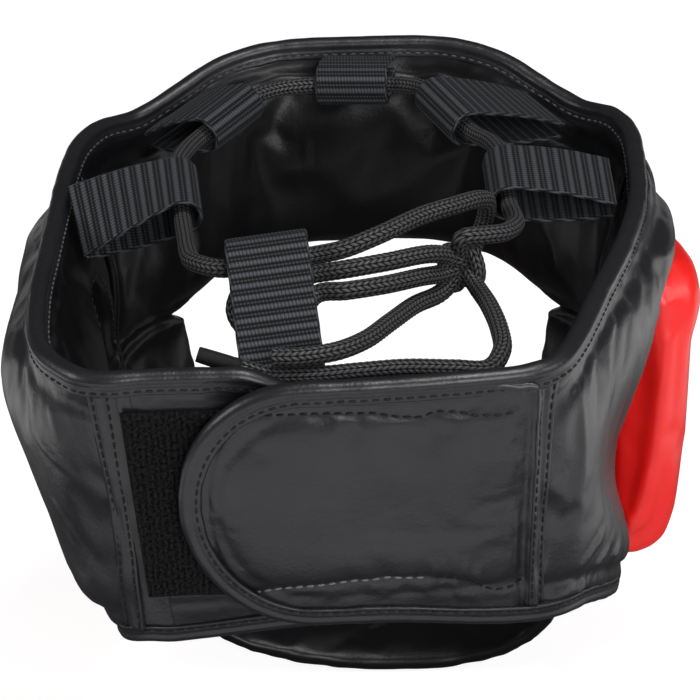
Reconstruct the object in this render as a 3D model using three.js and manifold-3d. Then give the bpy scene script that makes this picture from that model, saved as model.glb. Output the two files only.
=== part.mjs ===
// Sparring headgear: padded leather shell, cheek pads, rear closing flap, chin strap and laced crown.
// Millimetres, +Z up. The face looks along -Y and the wearer's left is +X.
// The origin is the head's seat: on the mid-plane and the ear line, level with the top of the rear band.
import * as THREE from "three";
import Module from "manifold-3d";
import { mergeVertices } from "three/addons/utils/BufferGeometryUtils.js";

const wasm = await Module();
wasm.setup();

// Driving dimensions.
const GAP = 0.3; // left between sewn or laid pieces
const PAD_POWER = 3; // how square a padded section is: 2 is round, higher is flatter
const PAD_STEPS = 6; // steps down each face of a padded wall
const END_SHARE = 0.3; // share of its thickness that a padded wall keeps at a rounded end

// Edges of padded walls: half thickness, and the height of the thin flange that a binding covers.
const BOUND_EDGE = { half: 1.9, flange: 5.8 };
const SEWN_EDGE = { half: 3, flange: 0 };
const BINDING = { leather: 1.5, leg: 4.6, crown: 2.6, ease: 0.4 };

const EAR = { y: -25, z: -60, halfWidth: 21, halfHeight: 28, segments: 20, reach: 150 };

// Padded walls, one row for each section, from the rim or upper edge (x, y, z) to the foot.
// out and in are the half thicknesses outwards and towards the head.
const WALL_COLUMNS = ["x", "y", "z", "footX", "footY", "footZ", "out", "in"];
const FOREHEAD_LEFT_HALF = table(WALL_COLUMNS, [
  [0, -136, 10.5, 0, -128, -66, 12, 14],
  [30, -135, 10, 29, -127, -67, 12, 14],
  [50, -128, 7, 47, -120, -70, 12, 13],
  [64, -118, 1.5, 60, -111, -74, 12, 12],
  [78, -107, -3.5, 72, -99, -76, 11, 11],
  [89, -93, -1, 82, -87, -76, 13, 11],
  [94, -76, 0, 88, -73, -76, 14, 11],
  [95, -62, 0, 90, -61, -76, 14, 11],
]);
const SIDE_LEFT = table(WALL_COLUMNS, [
  [95, -61, 0, 85, -60, -156, 14, 11],
  [95, -45, 0, 85, -45, -150, 16, 11],
  [94, -20, 0, 83, -20, -140, 16, 11],
  [93, 8, 0, 80, 8, -127, 16, 11],
  [91.5, 40, 0, 74, 36, -112, 15, 11],
  [86, 73, 0, 70, 65, -102, 12, 9],
  [72.5, 91, 0, 65, 82.3, -95, 5, 5],
  [63.5, 94, 0, 58, 85.3, -92, 3.4, 3.4],
]);
const SIDE_RIGHT = table(WALL_COLUMNS, [
  [-57.3, 94.2, 0, -57.9, 86.5, -87, 3.4, 3.4],
  [-65.5, 88.8, 0, -66.5, 81, -88, 5, 5],
  [-72, 73, 0, -73, 65, -95.5, 10, 9],
  [-80, 42, 0, -81, 36, -112, 12, 11],
  [-88, 12, 0, -84, 8, -127, 13, 11],
  [-94, -20, 0, -85, -20, -140, 14, 11],
  [-95, -45, 0, -85, -45, -150, 15, 11],
  [-95, -61, 0, -85, -60, -156, 14, 11],
]);
const WING_LEFT = table(WALL_COLUMNS, [
  [64, -103, -79, 54, -97, -158, 7, 7],
  [75, -96, -78, 65, -90, -161, 9, 9],
  [84, -83, -77, 74, -78, -161, 10, 10],
  [89, -71, -77, 80, -69, -159, 10, 10],
  [90, -62, -77, 85, -61, -157, 10, 10],
]);

// Chin strap, from the right wing to the left: front edge (x, y, z), rear edge, half thicknesses.
const CHIN_STRAP = table(WALL_COLUMNS, [
  [-55, -84, -138, -64, -46, -140, 4.5, 4.5],
  [-58, -86, -160, -68, -46, -162, 4.5, 4.5],
  [-57, -88, -178, -63, -48, -180, 4.5, 4.5],
  [-44, -89, -191, -46, -48, -193, 4.5, 4.5],
  [-18, -90, -196, -18, -48, -198, 4.5, 4.5],
  [14, -90, -195, 14, -48, -197, 4.5, 4.5],
  [44, -89, -187, 46, -48, -189, 4.5, 4.5],
  [57, -88, -174, 63, -48, -176, 4.5, 4.5],
  [58, -86, -158, 68, -46, -160, 4.5, 4.5],
  [55, -84, -138, 64, -46, -140, 4.5, 4.5],
]);

// Cheek pads: the line on the wall that each pad lies along, at the pad's top and foot.
const CHEEK = { top: -40, foot: -166, power: 3.4, segments: 28, edge: 14, body: 29, back: 4.2 };
const CHEEK_LINE = table(["x", "y", "footX", "footY"], [
  [94, -47, 85, -47],
  [93, -62, 83, -61],
  [89, -79, 77, -76],
  [81, -94, 68, -89],
  [69, -104, 56, -98],
]);

// Rear band: the flap lies over the tab, and both lean in towards the neck.
const BAND_LEAN = 0.09;
const FLAP = {
  seamX: -55.9, endX: 43, endRadiusX: 36, top: 0, foot: -82, steps: 7, endSteps: 14,
  crestX: 25, crestY: 101.8, sag: 8.5, sagSpan: 88, half: 3.5,
};
const TAB = {
  seamX: 62, seamFootX: 56.5, hiddenX: -25, top: 0, foot: -89.5, steps: 9, half: 2.75, bindingFrom: 2,
  crestX: 42, crestY: 92, sag: 4, sagSpan: 67, lift: 1.5, liftSpan: 18,
};
const PILE = { fromX: -14, toX: 58.5, toFootX: 53.5, top: -10, foot: -77, thick: 1.8, steps: 8 };

// Webbing loops: root in the rim's inner side, centre of the fold that holds the lace, and the
// directions that the webbing's width runs in at the root and at the fold.
const WEBBING = { width: 25, thick: 1.6, rootHalf: 1.2, belly: 1.5, legSteps: 4, foldSteps: 8 };
const LOOPS = table(["name", "root", "fold", "rootAlong", "foldAlong", "bore"], [
  ["web_loop_front", [-1, -131, 5.5], [1, -107, 6.5], [1, 0, 0], [1, 0.05, 0], 10.5],
  ["web_loop_front_left", [69, -109, -8], [44, -87, 4], [0.7, 0.7, -0.2], [0.52, 0.84, -0.15], 10.5],
  ["web_loop_front_right", [-69, -109, -8], [-33, -83, 6], [-0.7, 0.7, -0.2], [-0.55, 0.8, -0.22], 10.5],
  ["web_loop_left", [90, -20, -4], [54, -24, 4], [0.2, 0.62, -0.76], [-0.3, 0.93, -0.18], 10.5],
  ["web_loop_right", [-90, -32, -1], [-52, -28, 4], [0.02, 0.97, -0.22], [0.05, 0.98, -0.15], 10.5],
  ["web_loop_rear", [12, 89, -18], [19.5, 43, 12], [1, 0.05, 0], [1, 0, 0], 14],
]);

// The lace, one length of braid with a slip knot, in stretches that end at the knot.
const LACE = { diameter: 5.6, sides: 8, step: 13 };
const KNOT = { at: [-38, 26, 1], radius: [8.5, 7.5, 7.5] };
const TIP = { diameter: 5, length: 13 };
const LACE_RING = [
  [-38.5, 29.5, 11.8], [-45, 26.8, 11.5], [-51, 21.5, 9.7], [-54.5, 11, 7], [-54.5, -2, 3.5],
  [-53.1, -14.3, 1.6], [-52, -28, 4], [-50.9, -41.7, 6.4], [-47.5, -57, 5], [-40.5, -71.6, 3],
  [-33, -83, 6], [-25.5, -94.4, 9], [-20, -101.5, 8], [-13, -106.3, 6.6], [1, -107, 6.5],
  [15, -107.7, 6.5], [26.5, -105, 6.6], [35.6, -97.9, 6.6], [44, -87, 4], [52.4, -76.1, 1.4],
  [56, -57, 4], [56.2, -37.5, 7], [54, -24, 4], [51.8, -10.5, 1], [49, 6, 1.5],
  [46.5, 22, 5], [43, 36, 9], [33.4, 44.7, 10.9], [19.5, 43, 12], [5.6, 41.3, 13.1],
  [-3, 41.5, 15], [-13, 37, 17], [-26, 23.5, 17], [-36, 14.5, 16], [-43, 5, 13.5],
  [-46, -4, 8], [-45, -6, 1], [-42, 0, -4], [-39.5, 9, -5], [-38, 18.1, -3.6],
];
const LACE_BOW = [
  [-33.3, 30.3, 6.7], [-28, 36, 10], [-15.5, 45, 12], [-4, 48, 11.5], [5.7, 46.8, 9.5], [21.5, 48.8, 8.3],
  [27.5, 51.6, 6.4], [29.2, 57.3, 2.7], [25.6, 62.3, -0.5], [19, 63.7, -1.4], [10.7, 58.9, 1.7],
  [4.7, 52.6, 5.7], [-4, 53.5, 7], [-15.5, 49, 6.5], [-25.5, 39.5, 4], [-31.2, 31.5, 1],
];
const LACE_TAIL_SHORT = [
  [-31.8, 31, -5.4], [-24, 42, -4], [-17, 57, -2], [-10, 71, -0.5], [-2, 79.5, 0.5], [9, 83.4, 0.9],
  [16.5, 83.6, 1],
];
const LACE_TAIL_LONG = [
  [-42.6, 33, -3], [-46.5, 46, -3], [-49.5, 60, -4], [-50, 71, -5], [-46, 79, -6.5], [-36, 81.5, -5],
  [-22, 81.5, -4.5], [-8, 82.3, -5], [2, 83, -5.5], [10, 83.4, -5.5], [18, 83.4, -5.2], [26, 82.6, -2.6],
];

const MATERIALS = {
  black_leather: { color: 0x2b2a2e, roughness: 0.42, metalness: 0 },
  red_leather: { color: 0xe02a22, roughness: 0.38, metalness: 0 },
  webbing: { color: 0x24262a, roughness: 0.7, metalness: 0 },
  lace: { color: 0x1d1d1d, roughness: 0.85, metalness: 0 },
  pile: { color: 0x0d0d0d, roughness: 0.95, metalness: 0 },
  tip: { color: 0x111111, roughness: 0.4, metalness: 0 },
};

// Rows of named columns from rows of values.
function table(columns, rows) {
  return rows.map((row) => Object.fromEntries(columns.map((name, i) => [name, row[i]])));
}

// The other side of a table of wall sections, in the order that keeps its outside out.
function mirrored(rows) {
  return rows.map((row) => ({ ...row, x: -row.x, footX: -row.footX })).reverse();
}

// A smooth curve through three columns of a table.
function curveThrough(rows, columns) {
  const points = rows.map((row) => new THREE.Vector3(...columns.map((name) => row[name])));
  return new THREE.CatmullRomCurve3(points, false, "catmullrom", 0.5);
}

// A closed surface with its faces turned outwards.
function closedGeometry(points, triangles) {
  const geometry = new THREE.BufferGeometry();
  const corner = (i) => points[i];
  const volume = triangles.reduce(
    (sum, [a, b, c]) => sum + corner(a).dot(corner(b).clone().cross(corner(c))),
    0,
  );
  const index = triangles.flatMap(([a, b, c]) => (volume < 0 ? [a, c, b] : [a, b, c]));
  geometry.setAttribute("position", new THREE.Float32BufferAttribute(points.flatMap((p) => p.toArray()), 3));
  geometry.setIndex(index);
  return geometry;
}

// Triangles of a flat polygon, wound the way the polygon is.
function capTriangles(flat) {
  const wound = (loop) => Math.sign(THREE.ShapeUtils.area(loop));
  return THREE.ShapeUtils.triangulateShape(flat, []).map((t) => {
    const same = wound(t.map((i) => flat[i])) === wound(flat);
    return same ? t : [t[0], t[2], t[1]];
  });
}

// A solid through rings of equal count, each with its points in space and its flat section.
function loft(rings) {
  const count = rings[0].points.length;
  const triangles = [];
  for (let r = 0; r + 1 < rings.length; r += 1) {
    for (let i = 0; i < count; i += 1) {
      const a = r * count + i;
      const b = r * count + ((i + 1) % count);
      triangles.push([a, b, b + count], [a, b + count, a + count]);
    }
  }
  const last = (rings.length - 1) * count;
  capTriangles(rings[0].flat).forEach(([a, b, c]) => triangles.push([a, c, b]));
  capTriangles(rings.at(-1).flat).forEach(([a, b, c]) => triangles.push([last + a, last + b, last + c]));
  return closedGeometry(rings.flatMap((ring) => ring.points), triangles);
}

// Places along a wall's table: upper edge, foot, directions and half thicknesses.
function stationsOf(rows, perRow) {
  const top = curveThrough(rows, ["x", "y", "z"]);
  const foot = curveThrough(rows, ["footX", "footY", "footZ"]);
  const fill = curveThrough(rows, ["out", "in", "in"]);
  const count = (rows.length - 1) * perRow;
  const stations = Array.from({ length: count + 1 }, (_, i) => {
    const t = i / count;
    const upper = top.getPoint(t);
    const lower = foot.getPoint(t);
    const along = top.getTangent(t).add(foot.getTangent(t)).normalize();
    const across = lower.clone().sub(upper).normalize();
    const outward = across.clone().cross(along).normalize();
    const half = fill.getPoint(t);
    return { upper, lower, along, across, outward, out: half.x, in: half.y };
  });
  let run = 0;
  stations.forEach((station, i) => {
    run += i ? station.upper.distanceTo(stations[i - 1].upper) : 0;
    station.run = run;
  });
  stations.forEach((station) => {
    station.left = run - station.run;
  });
  return stations;
}

// How full a padded face is, from 0 at a sewn edge to 1 in the middle.
function fullness(share) {
  return (1 - Math.abs(2 * share - 1) ** PAD_POWER) ** (1 / PAD_POWER);
}

// How much of its thickness a wall keeps near an end that is rounded over a given reach.
function endFullness(distance, reach) {
  if (distance >= reach) return 1;
  return Math.max(END_SHARE, Math.sqrt(1 - (1 - distance / reach) ** 2));
}

// The closed section of a padded wall at one station, out face downwards and back up the inner face.
function wallRing(station, edges, ends, grow) {
  const height = station.upper.distanceTo(station.lower);
  const { top, foot } = edges;
  const kept = endFullness(station.run, ends.first) * endFullness(station.left, ends.last);
  const padded = height - top.flange - foot.flange;
  const rows = [{ down: -grow, full: 0, half: top.half }];
  if (top.flange) rows.push({ down: top.flange, full: 0, half: top.half });
  for (let k = 1; k < PAD_STEPS; k += 1) {
    const share = (1 - Math.cos((Math.PI * k) / PAD_STEPS)) / 2;
    const half = THREE.MathUtils.lerp(top.half, foot.half, share);
    rows.push({ down: top.flange + share * padded, full: fullness(share), half });
  }
  if (foot.flange) rows.push({ down: height - foot.flange, full: 0, half: foot.half });
  rows.push({ down: height + grow, full: 0, half: foot.half });
  const offset = (row, body) => row.half + Math.max(0, body * kept - row.half) * row.full + grow;
  const flat = [
    ...rows.map((row) => new THREE.Vector2(offset(row, station.out), -row.down)),
    ...rows.map((row) => new THREE.Vector2(-offset(row, station.in), -row.down)).reverse(),
  ];
  const shift = station.run === 0 ? -grow : station.left === 0 ? grow : 0;
  const points = flat.map((p) =>
    station.upper
      .clone()
      .addScaledVector(station.across, -p.y)
      .addScaledVector(station.outward, p.x)
      .addScaledVector(station.along, shift),
  );
  return { points, flat };
}

// A padded wall through the sections of a table. grow swells it on all sides.
function wall(spec, grow = 0) {
  return loft(spec.stations.map((station) => wallRing(station, spec.edges, spec.ends, grow)));
}

// A padded or flat piece cut to a closed outline and laid on a surface.
// rings gives how far in from the outline to the spine each ring lies, and how full it is there.
function pillow({ outline, spine, place, rings, front, back }) {
  const count = outline.length;
  const flats = rings.map((ring) => outline.map((p) => p.clone().lerp(spine(p), ring.inwards)));
  const layer = (face) =>
    flats.flatMap((flat, k) =>
      flat.map((p) => place(p.x, p.y, THREE.MathUtils.lerp(face.edge, face.body, rings[k].full))),
    );
  const points = [...layer(front), ...layer(back)];
  const backStart = rings.length * count;
  const triangles = [];
  for (let i = 0; i < count; i += 1) {
    const j = (i + 1) % count;
    triangles.push([j, i, backStart + i], [j, backStart + i, backStart + j]);
    for (let k = 0; k + 1 < rings.length; k += 1) {
      const [a, b, c, d] = [k * count + i, k * count + j, (k + 1) * count + j, (k + 1) * count + i];
      triangles.push([a, b, c], [a, c, d]);
      triangles.push([backStart + a, backStart + c, backStart + b], [backStart + a, backStart + d, backStart + c]);
    }
  }
  const inner = (rings.length - 1) * count;
  capTriangles(flats.at(-1)).forEach(([a, b, c]) => {
    triangles.push([inner + a, inner + b, inner + c]);
    triangles.push([backStart + inner + a, backStart + inner + c, backStart + inner + b]);
  });
  return closedGeometry(points, triangles);
}

// A folded strip of leather over an edge, along frames that each have a point, an outward and an up direction.
function binding(frames) {
  const slot = BOUND_EDGE.half + BINDING.ease;
  const wide = slot + BINDING.leather;
  return sweep(frames, [
    [-wide, -BINDING.leg], [-slot, -BINDING.leg], [-slot, GAP], [slot, GAP], [slot, -BINDING.leg],
    [wide, -BINDING.leg], [wide, GAP], [0, BINDING.crown], [-wide, GAP],
  ]);
}

// The room that a binding takes up, with the gap round it.
function bindingRoom(frames) {
  const wide = BOUND_EDGE.half + BINDING.ease + BINDING.leather + GAP;
  const low = -BINDING.leg - GAP;
  const high = BINDING.crown + GAP;
  return sweep(frames, [[-wide, low], [wide, low], [wide, high], [-wide, high]]);
}

// A flat section carried along frames.
function sweep(frames, corners) {
  const section = corners.map(([x, y]) => new THREE.Vector2(x, y));
  return loft(
    frames.map(({ at, outward, up }) => ({
      flat: section,
      points: section.map((p) => at.clone().addScaledVector(outward, p.x).addScaledVector(up, p.y)),
    })),
  );
}

// A solid for joining and cutting, from a closed geometry.
function solidOf(geometry) {
  const bare = geometry.clone();
  bare.deleteAttribute("normal");
  bare.deleteAttribute("uv");
  const merged = mergeVertices(bare, 1e-4);
  return new wasm.Manifold(
    new wasm.Mesh({
      numProp: 3,
      vertProperties: new Float32Array(merged.getAttribute("position").array),
      triVerts: new Uint32Array(merged.index.array),
    }),
  );
}

function geometryOf(solid) {
  const mesh = solid.getMesh();
  const geometry = new THREE.BufferGeometry();
  geometry.setAttribute("position", new THREE.BufferAttribute(new Float32Array(mesh.vertProperties), 3));
  geometry.setIndex(new THREE.BufferAttribute(new Uint32Array(mesh.triVerts), 1));
  return geometry;
}

// A geometry less the given cutters.
function cut(geometry, cutters) {
  return geometryOf(cutters.reduce((solid, cutter) => solid.subtract(solidOf(cutter)), solidOf(geometry)));
}

// Padded walls.
const foreheadRows = [...mirrored(FOREHEAD_LEFT_HALF), ...FOREHEAD_LEFT_HALF.slice(1)];
const BOUND_TOP = { top: BOUND_EDGE, foot: SEWN_EDGE };
const BOUND_BOTH = { top: BOUND_EDGE, foot: BOUND_EDGE };
const BOUND_FOOT = { top: SEWN_EDGE, foot: BOUND_EDGE };
const SEWN_BOTH = { top: SEWN_EDGE, foot: SEWN_EDGE };
const WALLS = {
  forehead_pad: { stations: stationsOf(foreheadRows, 2), edges: BOUND_TOP, ends: { first: 10, last: 10 } },
  side_pad_left: { stations: stationsOf(SIDE_LEFT, 2), edges: BOUND_BOTH, ends: { first: 10, last: 0 } },
  side_pad_right: { stations: stationsOf(SIDE_RIGHT, 2), edges: BOUND_BOTH, ends: { first: 0, last: 10 } },
  cheek_wing_left: { stations: stationsOf(WING_LEFT, 2), edges: BOUND_FOOT, ends: { first: 8, last: 10 } },
  cheek_wing_right: {
    stations: stationsOf(mirrored(WING_LEFT), 2), edges: BOUND_FOOT, ends: { first: 10, last: 8 },
  },
  chin_strap: { stations: stationsOf(CHIN_STRAP, 2), edges: SEWN_BOTH, ends: { first: 0, last: 0 } },
};

// An oval prism through one side, where the ear is.
function earCutter(side) {
  const oval = new THREE.Shape();
  oval.absellipse(EAR.y, EAR.z, EAR.halfWidth, EAR.halfHeight, 0, 2 * Math.PI, false, 0);
  const prism = new THREE.ExtrudeGeometry(oval, {
    depth: EAR.reach, bevelEnabled: false, curveSegments: EAR.segments,
  });
  const turn = new THREE.Matrix4().makeBasis(
    new THREE.Vector3(0, 1, 0), new THREE.Vector3(0, 0, 1), new THREE.Vector3(1, 0, 0),
  );
  prism.applyMatrix4(turn);
  return prism.translate(side > 0 ? 0 : -EAR.reach, 0, 0);
}

// Rear band surfaces: a place on the flap or tab, a given distance out from its middle.
function bandPlace(line) {
  const slope = (x) => line(x + 0.5) - line(x - 0.5);
  return (x, z, offset) => {
    const outward = new THREE.Vector2(-slope(x), 1).normalize();
    return new THREE.Vector3(x + outward.x * offset, line(x) + BAND_LEAN * z + outward.y * offset, z);
  };
}

function flapLine(x) {
  return FLAP.crestY - FLAP.sag * ((x - FLAP.crestX) / FLAP.sagSpan) ** 2;
}

function tabLine(x) {
  const lift = TAB.lift * (Math.max(0, x - TAB.crestX) / TAB.liftSpan) ** 2;
  return TAB.crestY - TAB.sag * ((x - TAB.crestX) / TAB.sagSpan) ** 2 + lift;
}

const flapPlace = bandPlace(flapLine);
const tabPlace = bandPlace(tabLine);
const evenly = (from, to, steps) => Array.from({ length: steps }, (_, i) => from + ((to - from) * i) / steps);

// The flap's outline from its foot at the seam, along the foot, round the end and back along the top.
const flapMiddle = (FLAP.top + FLAP.foot) / 2;
const flapRadius = (FLAP.top - FLAP.foot) / 2;
const flapCentre = FLAP.endX - FLAP.endRadiusX;
const flapEdge = [
  ...evenly(FLAP.seamX, flapCentre, FLAP.steps).map((x) => new THREE.Vector2(x, FLAP.foot)),
  ...evenly(-Math.PI / 2, Math.PI / 2, FLAP.endSteps).map(
    (a) => new THREE.Vector2(flapCentre + FLAP.endRadiusX * Math.cos(a), flapMiddle + flapRadius * Math.sin(a)),
  ),
  ...evenly(flapCentre, FLAP.seamX, FLAP.steps).map((x) => new THREE.Vector2(x, FLAP.top)),
  new THREE.Vector2(FLAP.seamX, FLAP.top),
];
const flapGeometry = pillow({
  outline: flapEdge,
  spine: (p) => new THREE.Vector2(THREE.MathUtils.clamp(p.x, FLAP.seamX + 20, flapCentre), flapMiddle),
  place: flapPlace,
  rings: table(["inwards", "full"], [[0, 0], [0.15, 0], [0.25, 0.75], [0.42, 1], [0.7, 1]]),
  front: { edge: BOUND_EDGE.half, body: FLAP.half },
  back: { edge: -BOUND_EDGE.half, body: -FLAP.half },
});

// The tab's outline from its foot at the seam, along the foot, up the hidden end and back along the top.
const edgeLine = (from, to, steps, z) =>
  [...evenly(from, to, steps), to].map((x) => new THREE.Vector2(x, z));
const tabTop = edgeLine(TAB.hiddenX, TAB.seamX, TAB.steps, TAB.top);
const tabFoot = edgeLine(TAB.hiddenX, TAB.seamFootX, TAB.steps, TAB.foot);
const tabMiddle = (TAB.top + TAB.foot) / 2;
const tabPillow = (grow) =>
  pillow({
    outline: [...tabFoot, ...tabTop.toReversed()],
    spine: (p) => new THREE.Vector2(THREE.MathUtils.clamp(p.x, TAB.hiddenX + 25, TAB.seamFootX - 25), tabMiddle),
    place: tabPlace,
    rings: table(["inwards", "full"], [[0, 0], [0.14, 0], [0.2, 1], [0.7, 1]]),
    front: { edge: BOUND_EDGE.half + grow, body: TAB.half + grow },
    back: { edge: -BOUND_EDGE.half - grow, body: -TAB.half - grow },
  });
const tabRoom = tabPillow(GAP);

const pileSeat = TAB.half + 2 * GAP;
const pileTop = edgeLine(PILE.fromX, PILE.toX, PILE.steps, PILE.top);
const pileFoot = edgeLine(PILE.fromX, PILE.toFootX, PILE.steps, PILE.foot);
const pileGeometry = pillow({
  outline: [...pileFoot, ...pileTop.toReversed()],
  spine: (p) => new THREE.Vector2(THREE.MathUtils.clamp(p.x, PILE.fromX + 20, PILE.toFootX - 20), tabMiddle),
  place: tabPlace,
  rings: table(["inwards", "full"], [[0, 0], [0.08, 1], [0.6, 1]]),
  front: { edge: pileSeat + PILE.thick / 2, body: pileSeat + PILE.thick },
  back: { edge: pileSeat, body: pileSeat },
});

// Cheek pads: a rounded oblong laid on the wall, cut to fit the walls that it covers.
function cheekPad(side, walls, hemFrames) {
  const line = (columns) =>
    new THREE.CatmullRomCurve3(
      CHEEK_LINE.map((row) => new THREE.Vector3(side * row[columns[0]], row[columns[1]], 0)),
    );
  const top = line(["x", "y"]);
  const foot = line(["footX", "footY"]);
  const halfLength = top.getLength() / 2;
  const halfHeight = (CHEEK.top - CHEEK.foot) / 2;
  const middle = (CHEEK.top + CHEEK.foot) / 2;
  const rounded = (value) => Math.sign(value) * Math.abs(value) ** (2 / CHEEK.power);
  const outline = Array.from({ length: CHEEK.segments }, (_, i) => {
    const a = (2 * Math.PI * i) / CHEEK.segments;
    return new THREE.Vector2(halfLength * rounded(Math.cos(a)), middle + halfHeight * rounded(Math.sin(a)));
  });
  const spineHalf = halfHeight - halfLength;
  const place = (run, z, offset) => {
    const t = THREE.MathUtils.clamp((run / halfLength + 1) / 2, 0, 1);
    const down = (CHEEK.top - z) / (CHEEK.top - CHEEK.foot);
    const at = top.getPointAt(t).lerp(foot.getPointAt(t), down);
    const along = top.getTangentAt(t).lerp(foot.getTangentAt(t), down).normalize();
    const outward = new THREE.Vector3(-side * along.y, side * along.x, 0);
    return at.setZ(z).addScaledVector(outward, offset);
  };
  const pad = pillow({
    outline,
    spine: (p) => new THREE.Vector2(0, THREE.MathUtils.clamp(p.y, middle - spineHalf, middle + spineHalf)),
    place,
    rings: table(["inwards", "full"], [[0, 0], [0.06, 0.45], [0.18, 0.75], [0.4, 0.95], [0.75, 1]]),
    front: { edge: CHEEK.edge, body: CHEEK.body },
    back: { edge: CHEEK.back, body: CHEEK.back },
  });
  return cut(pad, [...walls.map((name) => wall(WALLS[name], GAP)), bindingRoom(hemFrames)]);
}

// Frames for the bindings.
const upperFrames = (name) =>
  WALLS[name].stations.map((s) => ({ at: s.upper, outward: s.outward, up: s.across.clone().negate() }));
const lowerFrames = (name) =>
  WALLS[name].stations.map((s) => ({ at: s.lower, outward: s.outward, up: s.across }));

// Frames along the edge of a band piece, from its outline's points and which way is out of the outline.
function bandFrames(points, place, upOf) {
  return points.map((p, i) => {
    const at = place(p.x, p.y, 0);
    const outward = place(p.x, p.y, 1).sub(at);
    const up = place(p.x + upOf(p, i).x, p.y + upOf(p, i).y, 0).sub(at).normalize();
    return { at, outward, up };
  });
}
const UPWARDS = new THREE.Vector2(0, 1);
const DOWNWARDS = new THREE.Vector2(0, -1);
const flapUp = (p) => {
  if (p.x <= flapCentre) return p.y > flapMiddle ? UPWARDS : DOWNWARDS;
  const away = new THREE.Vector2((p.x - flapCentre) / FLAP.endRadiusX ** 2, (p.y - flapMiddle) / flapRadius ** 2);
  return away.normalize();
};
const tabBound = (points) => points.filter((p) => p.x >= TAB.bindingFrom);
const rimFrames = [
  ...bandFrames(flapEdge, flapPlace, flapUp),
  ...upperFrames("side_pad_right"),
  ...upperFrames("forehead_pad"),
  ...upperFrames("side_pad_left"),
  ...bandFrames(tabBound(tabTop).toReversed(), tabPlace, () => UPWARDS),
];
const HEM_FRAMES = {
  left: [
    ...lowerFrames("cheek_wing_left"),
    ...lowerFrames("side_pad_left"),
    ...bandFrames(tabBound(tabFoot).toReversed(), tabPlace, () => DOWNWARDS),
  ],
  right: [...lowerFrames("side_pad_right"), ...lowerFrames("cheek_wing_right")],
};

// A strip of webbing folded round the lace, both ends at its root on the rim, turning on its way.
function webLoop({ root, fold, rootAlong, foldAlong, bore }) {
  const start = new THREE.Vector3(...root);
  const inward = new THREE.Vector3(...fold).sub(start);
  const length = inward.length();
  inward.normalize();
  const radius = (bore + WEBBING.thick) / 2;
  const leg = evenly(0, 1, WEBBING.legSteps).map((share) => {
    const belly = WEBBING.belly * Math.sin(Math.PI * share);
    return [share * length, THREE.MathUtils.lerp(WEBBING.rootHalf, radius, share) + belly];
  });
  const bend = [...evenly(Math.PI / 2, -Math.PI / 2, WEBBING.foldSteps), -Math.PI / 2].map((angle) => [
    length + radius * Math.cos(angle), radius * Math.sin(angle),
  ]);
  const back = leg.toReversed().map(([run, rise]) => [run, -rise]);
  const line = [...leg, ...bend, ...back].map(([run, rise]) => new THREE.Vector2(run, rise));
  const [wide, thick] = [WEBBING.width / 2, WEBBING.thick / 2];
  const corners = [[-wide, thick], [wide, thick], [wide, -thick], [-wide, -thick]];
  const flat = corners.map(([x, y]) => new THREE.Vector2(x, y));
  return loft(
    line.map((p, i) => {
      const way = line[Math.min(i + 1, line.length - 1)].clone().sub(line[Math.max(i - 1, 0)]).normalize();
      const share = THREE.MathUtils.clamp(p.x / length, 0, 1);
      const along = new THREE.Vector3(...rootAlong).lerp(new THREE.Vector3(...foldAlong), share);
      along.addScaledVector(inward, -along.dot(inward)).normalize();
      const normal = along.clone().cross(inward);
      const points = flat.map((corner) => {
        const run = p.x - way.y * corner.y;
        const rise = p.y + way.x * corner.y;
        const at = start.clone().addScaledVector(inward, run).addScaledVector(normal, rise);
        return at.addScaledVector(along, corner.x);
      });
      return { points, flat };
    }),
  );
}

// A stretch of lace along hand-laid points.
function laceTube(points) {
  const route = new THREE.CatmullRomCurve3(points.map((p) => new THREE.Vector3(...p)), false, "centripetal");
  const section = new THREE.Shape();
  section.absarc(0, 0, LACE.diameter / 2, 0, 2 * Math.PI, false);
  const round = new THREE.Shape(section.getSpacedPoints(LACE.sides).slice(0, -1));
  const steps = Math.round(route.getLength() / LACE.step);
  return new THREE.ExtrudeGeometry(round, { steps, bevelEnabled: false, extrudePath: route });
}

function knotGeometry() {
  const lump = new THREE.SphereGeometry(1, 12, 8);
  return lump.scale(...KNOT.radius).translate(...KNOT.at);
}

// The wrapped tip, in line with the end of the long tail.
function tipGeometry() {
  const [before, end] = LACE_TAIL_LONG.slice(-2).map((p) => new THREE.Vector3(...p));
  const way = end.clone().sub(before).normalize();
  const tip = new THREE.CylinderGeometry(TIP.diameter / 2, TIP.diameter / 2, TIP.length, LACE.sides);
  const centre = end.clone().addScaledVector(way, GAP + TIP.length / 2);
  const turn = new THREE.Quaternion().setFromUnitVectors(new THREE.Vector3(0, 1, 0), way);
  return tip.applyQuaternion(turn).translate(...centre.toArray());
}

// The assembly.
const headgear = new THREE.Group();
function addPiece(name, geometry, finish) {
  const mesh = new THREE.Mesh(geometry, new THREE.MeshStandardMaterial(MATERIALS[finish]));
  mesh.name = name;
  headgear.add(mesh);
}

addPiece("forehead_pad", wall(WALLS.forehead_pad), "black_leather");
for (const [name, side] of [["left", 1], ["right", -1]]) {
  const covered = ["forehead_pad", `side_pad_${name}`, `cheek_wing_${name}`];
  addPiece(`side_pad_${name}`, cut(wall(WALLS[`side_pad_${name}`]), [earCutter(side)]), "black_leather");
  addPiece(`cheek_wing_${name}`, wall(WALLS[`cheek_wing_${name}`]), "black_leather");
  addPiece(`cheek_pad_${name}`, cheekPad(side, covered, HEM_FRAMES[name]), "red_leather");
}
addPiece("rear_tab", tabPillow(0), "black_leather");
addPiece("loop_pile", pileGeometry, "pile");
addPiece("rear_flap", flapGeometry, "black_leather");
addPiece("rim_binding", binding(rimFrames), "black_leather");
addPiece("hem_binding_left", binding(HEM_FRAMES.left), "black_leather");
addPiece("hem_binding_right", binding(HEM_FRAMES.right), "black_leather");
addPiece("chin_strap", wall(WALLS.chin_strap), "black_leather");
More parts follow.
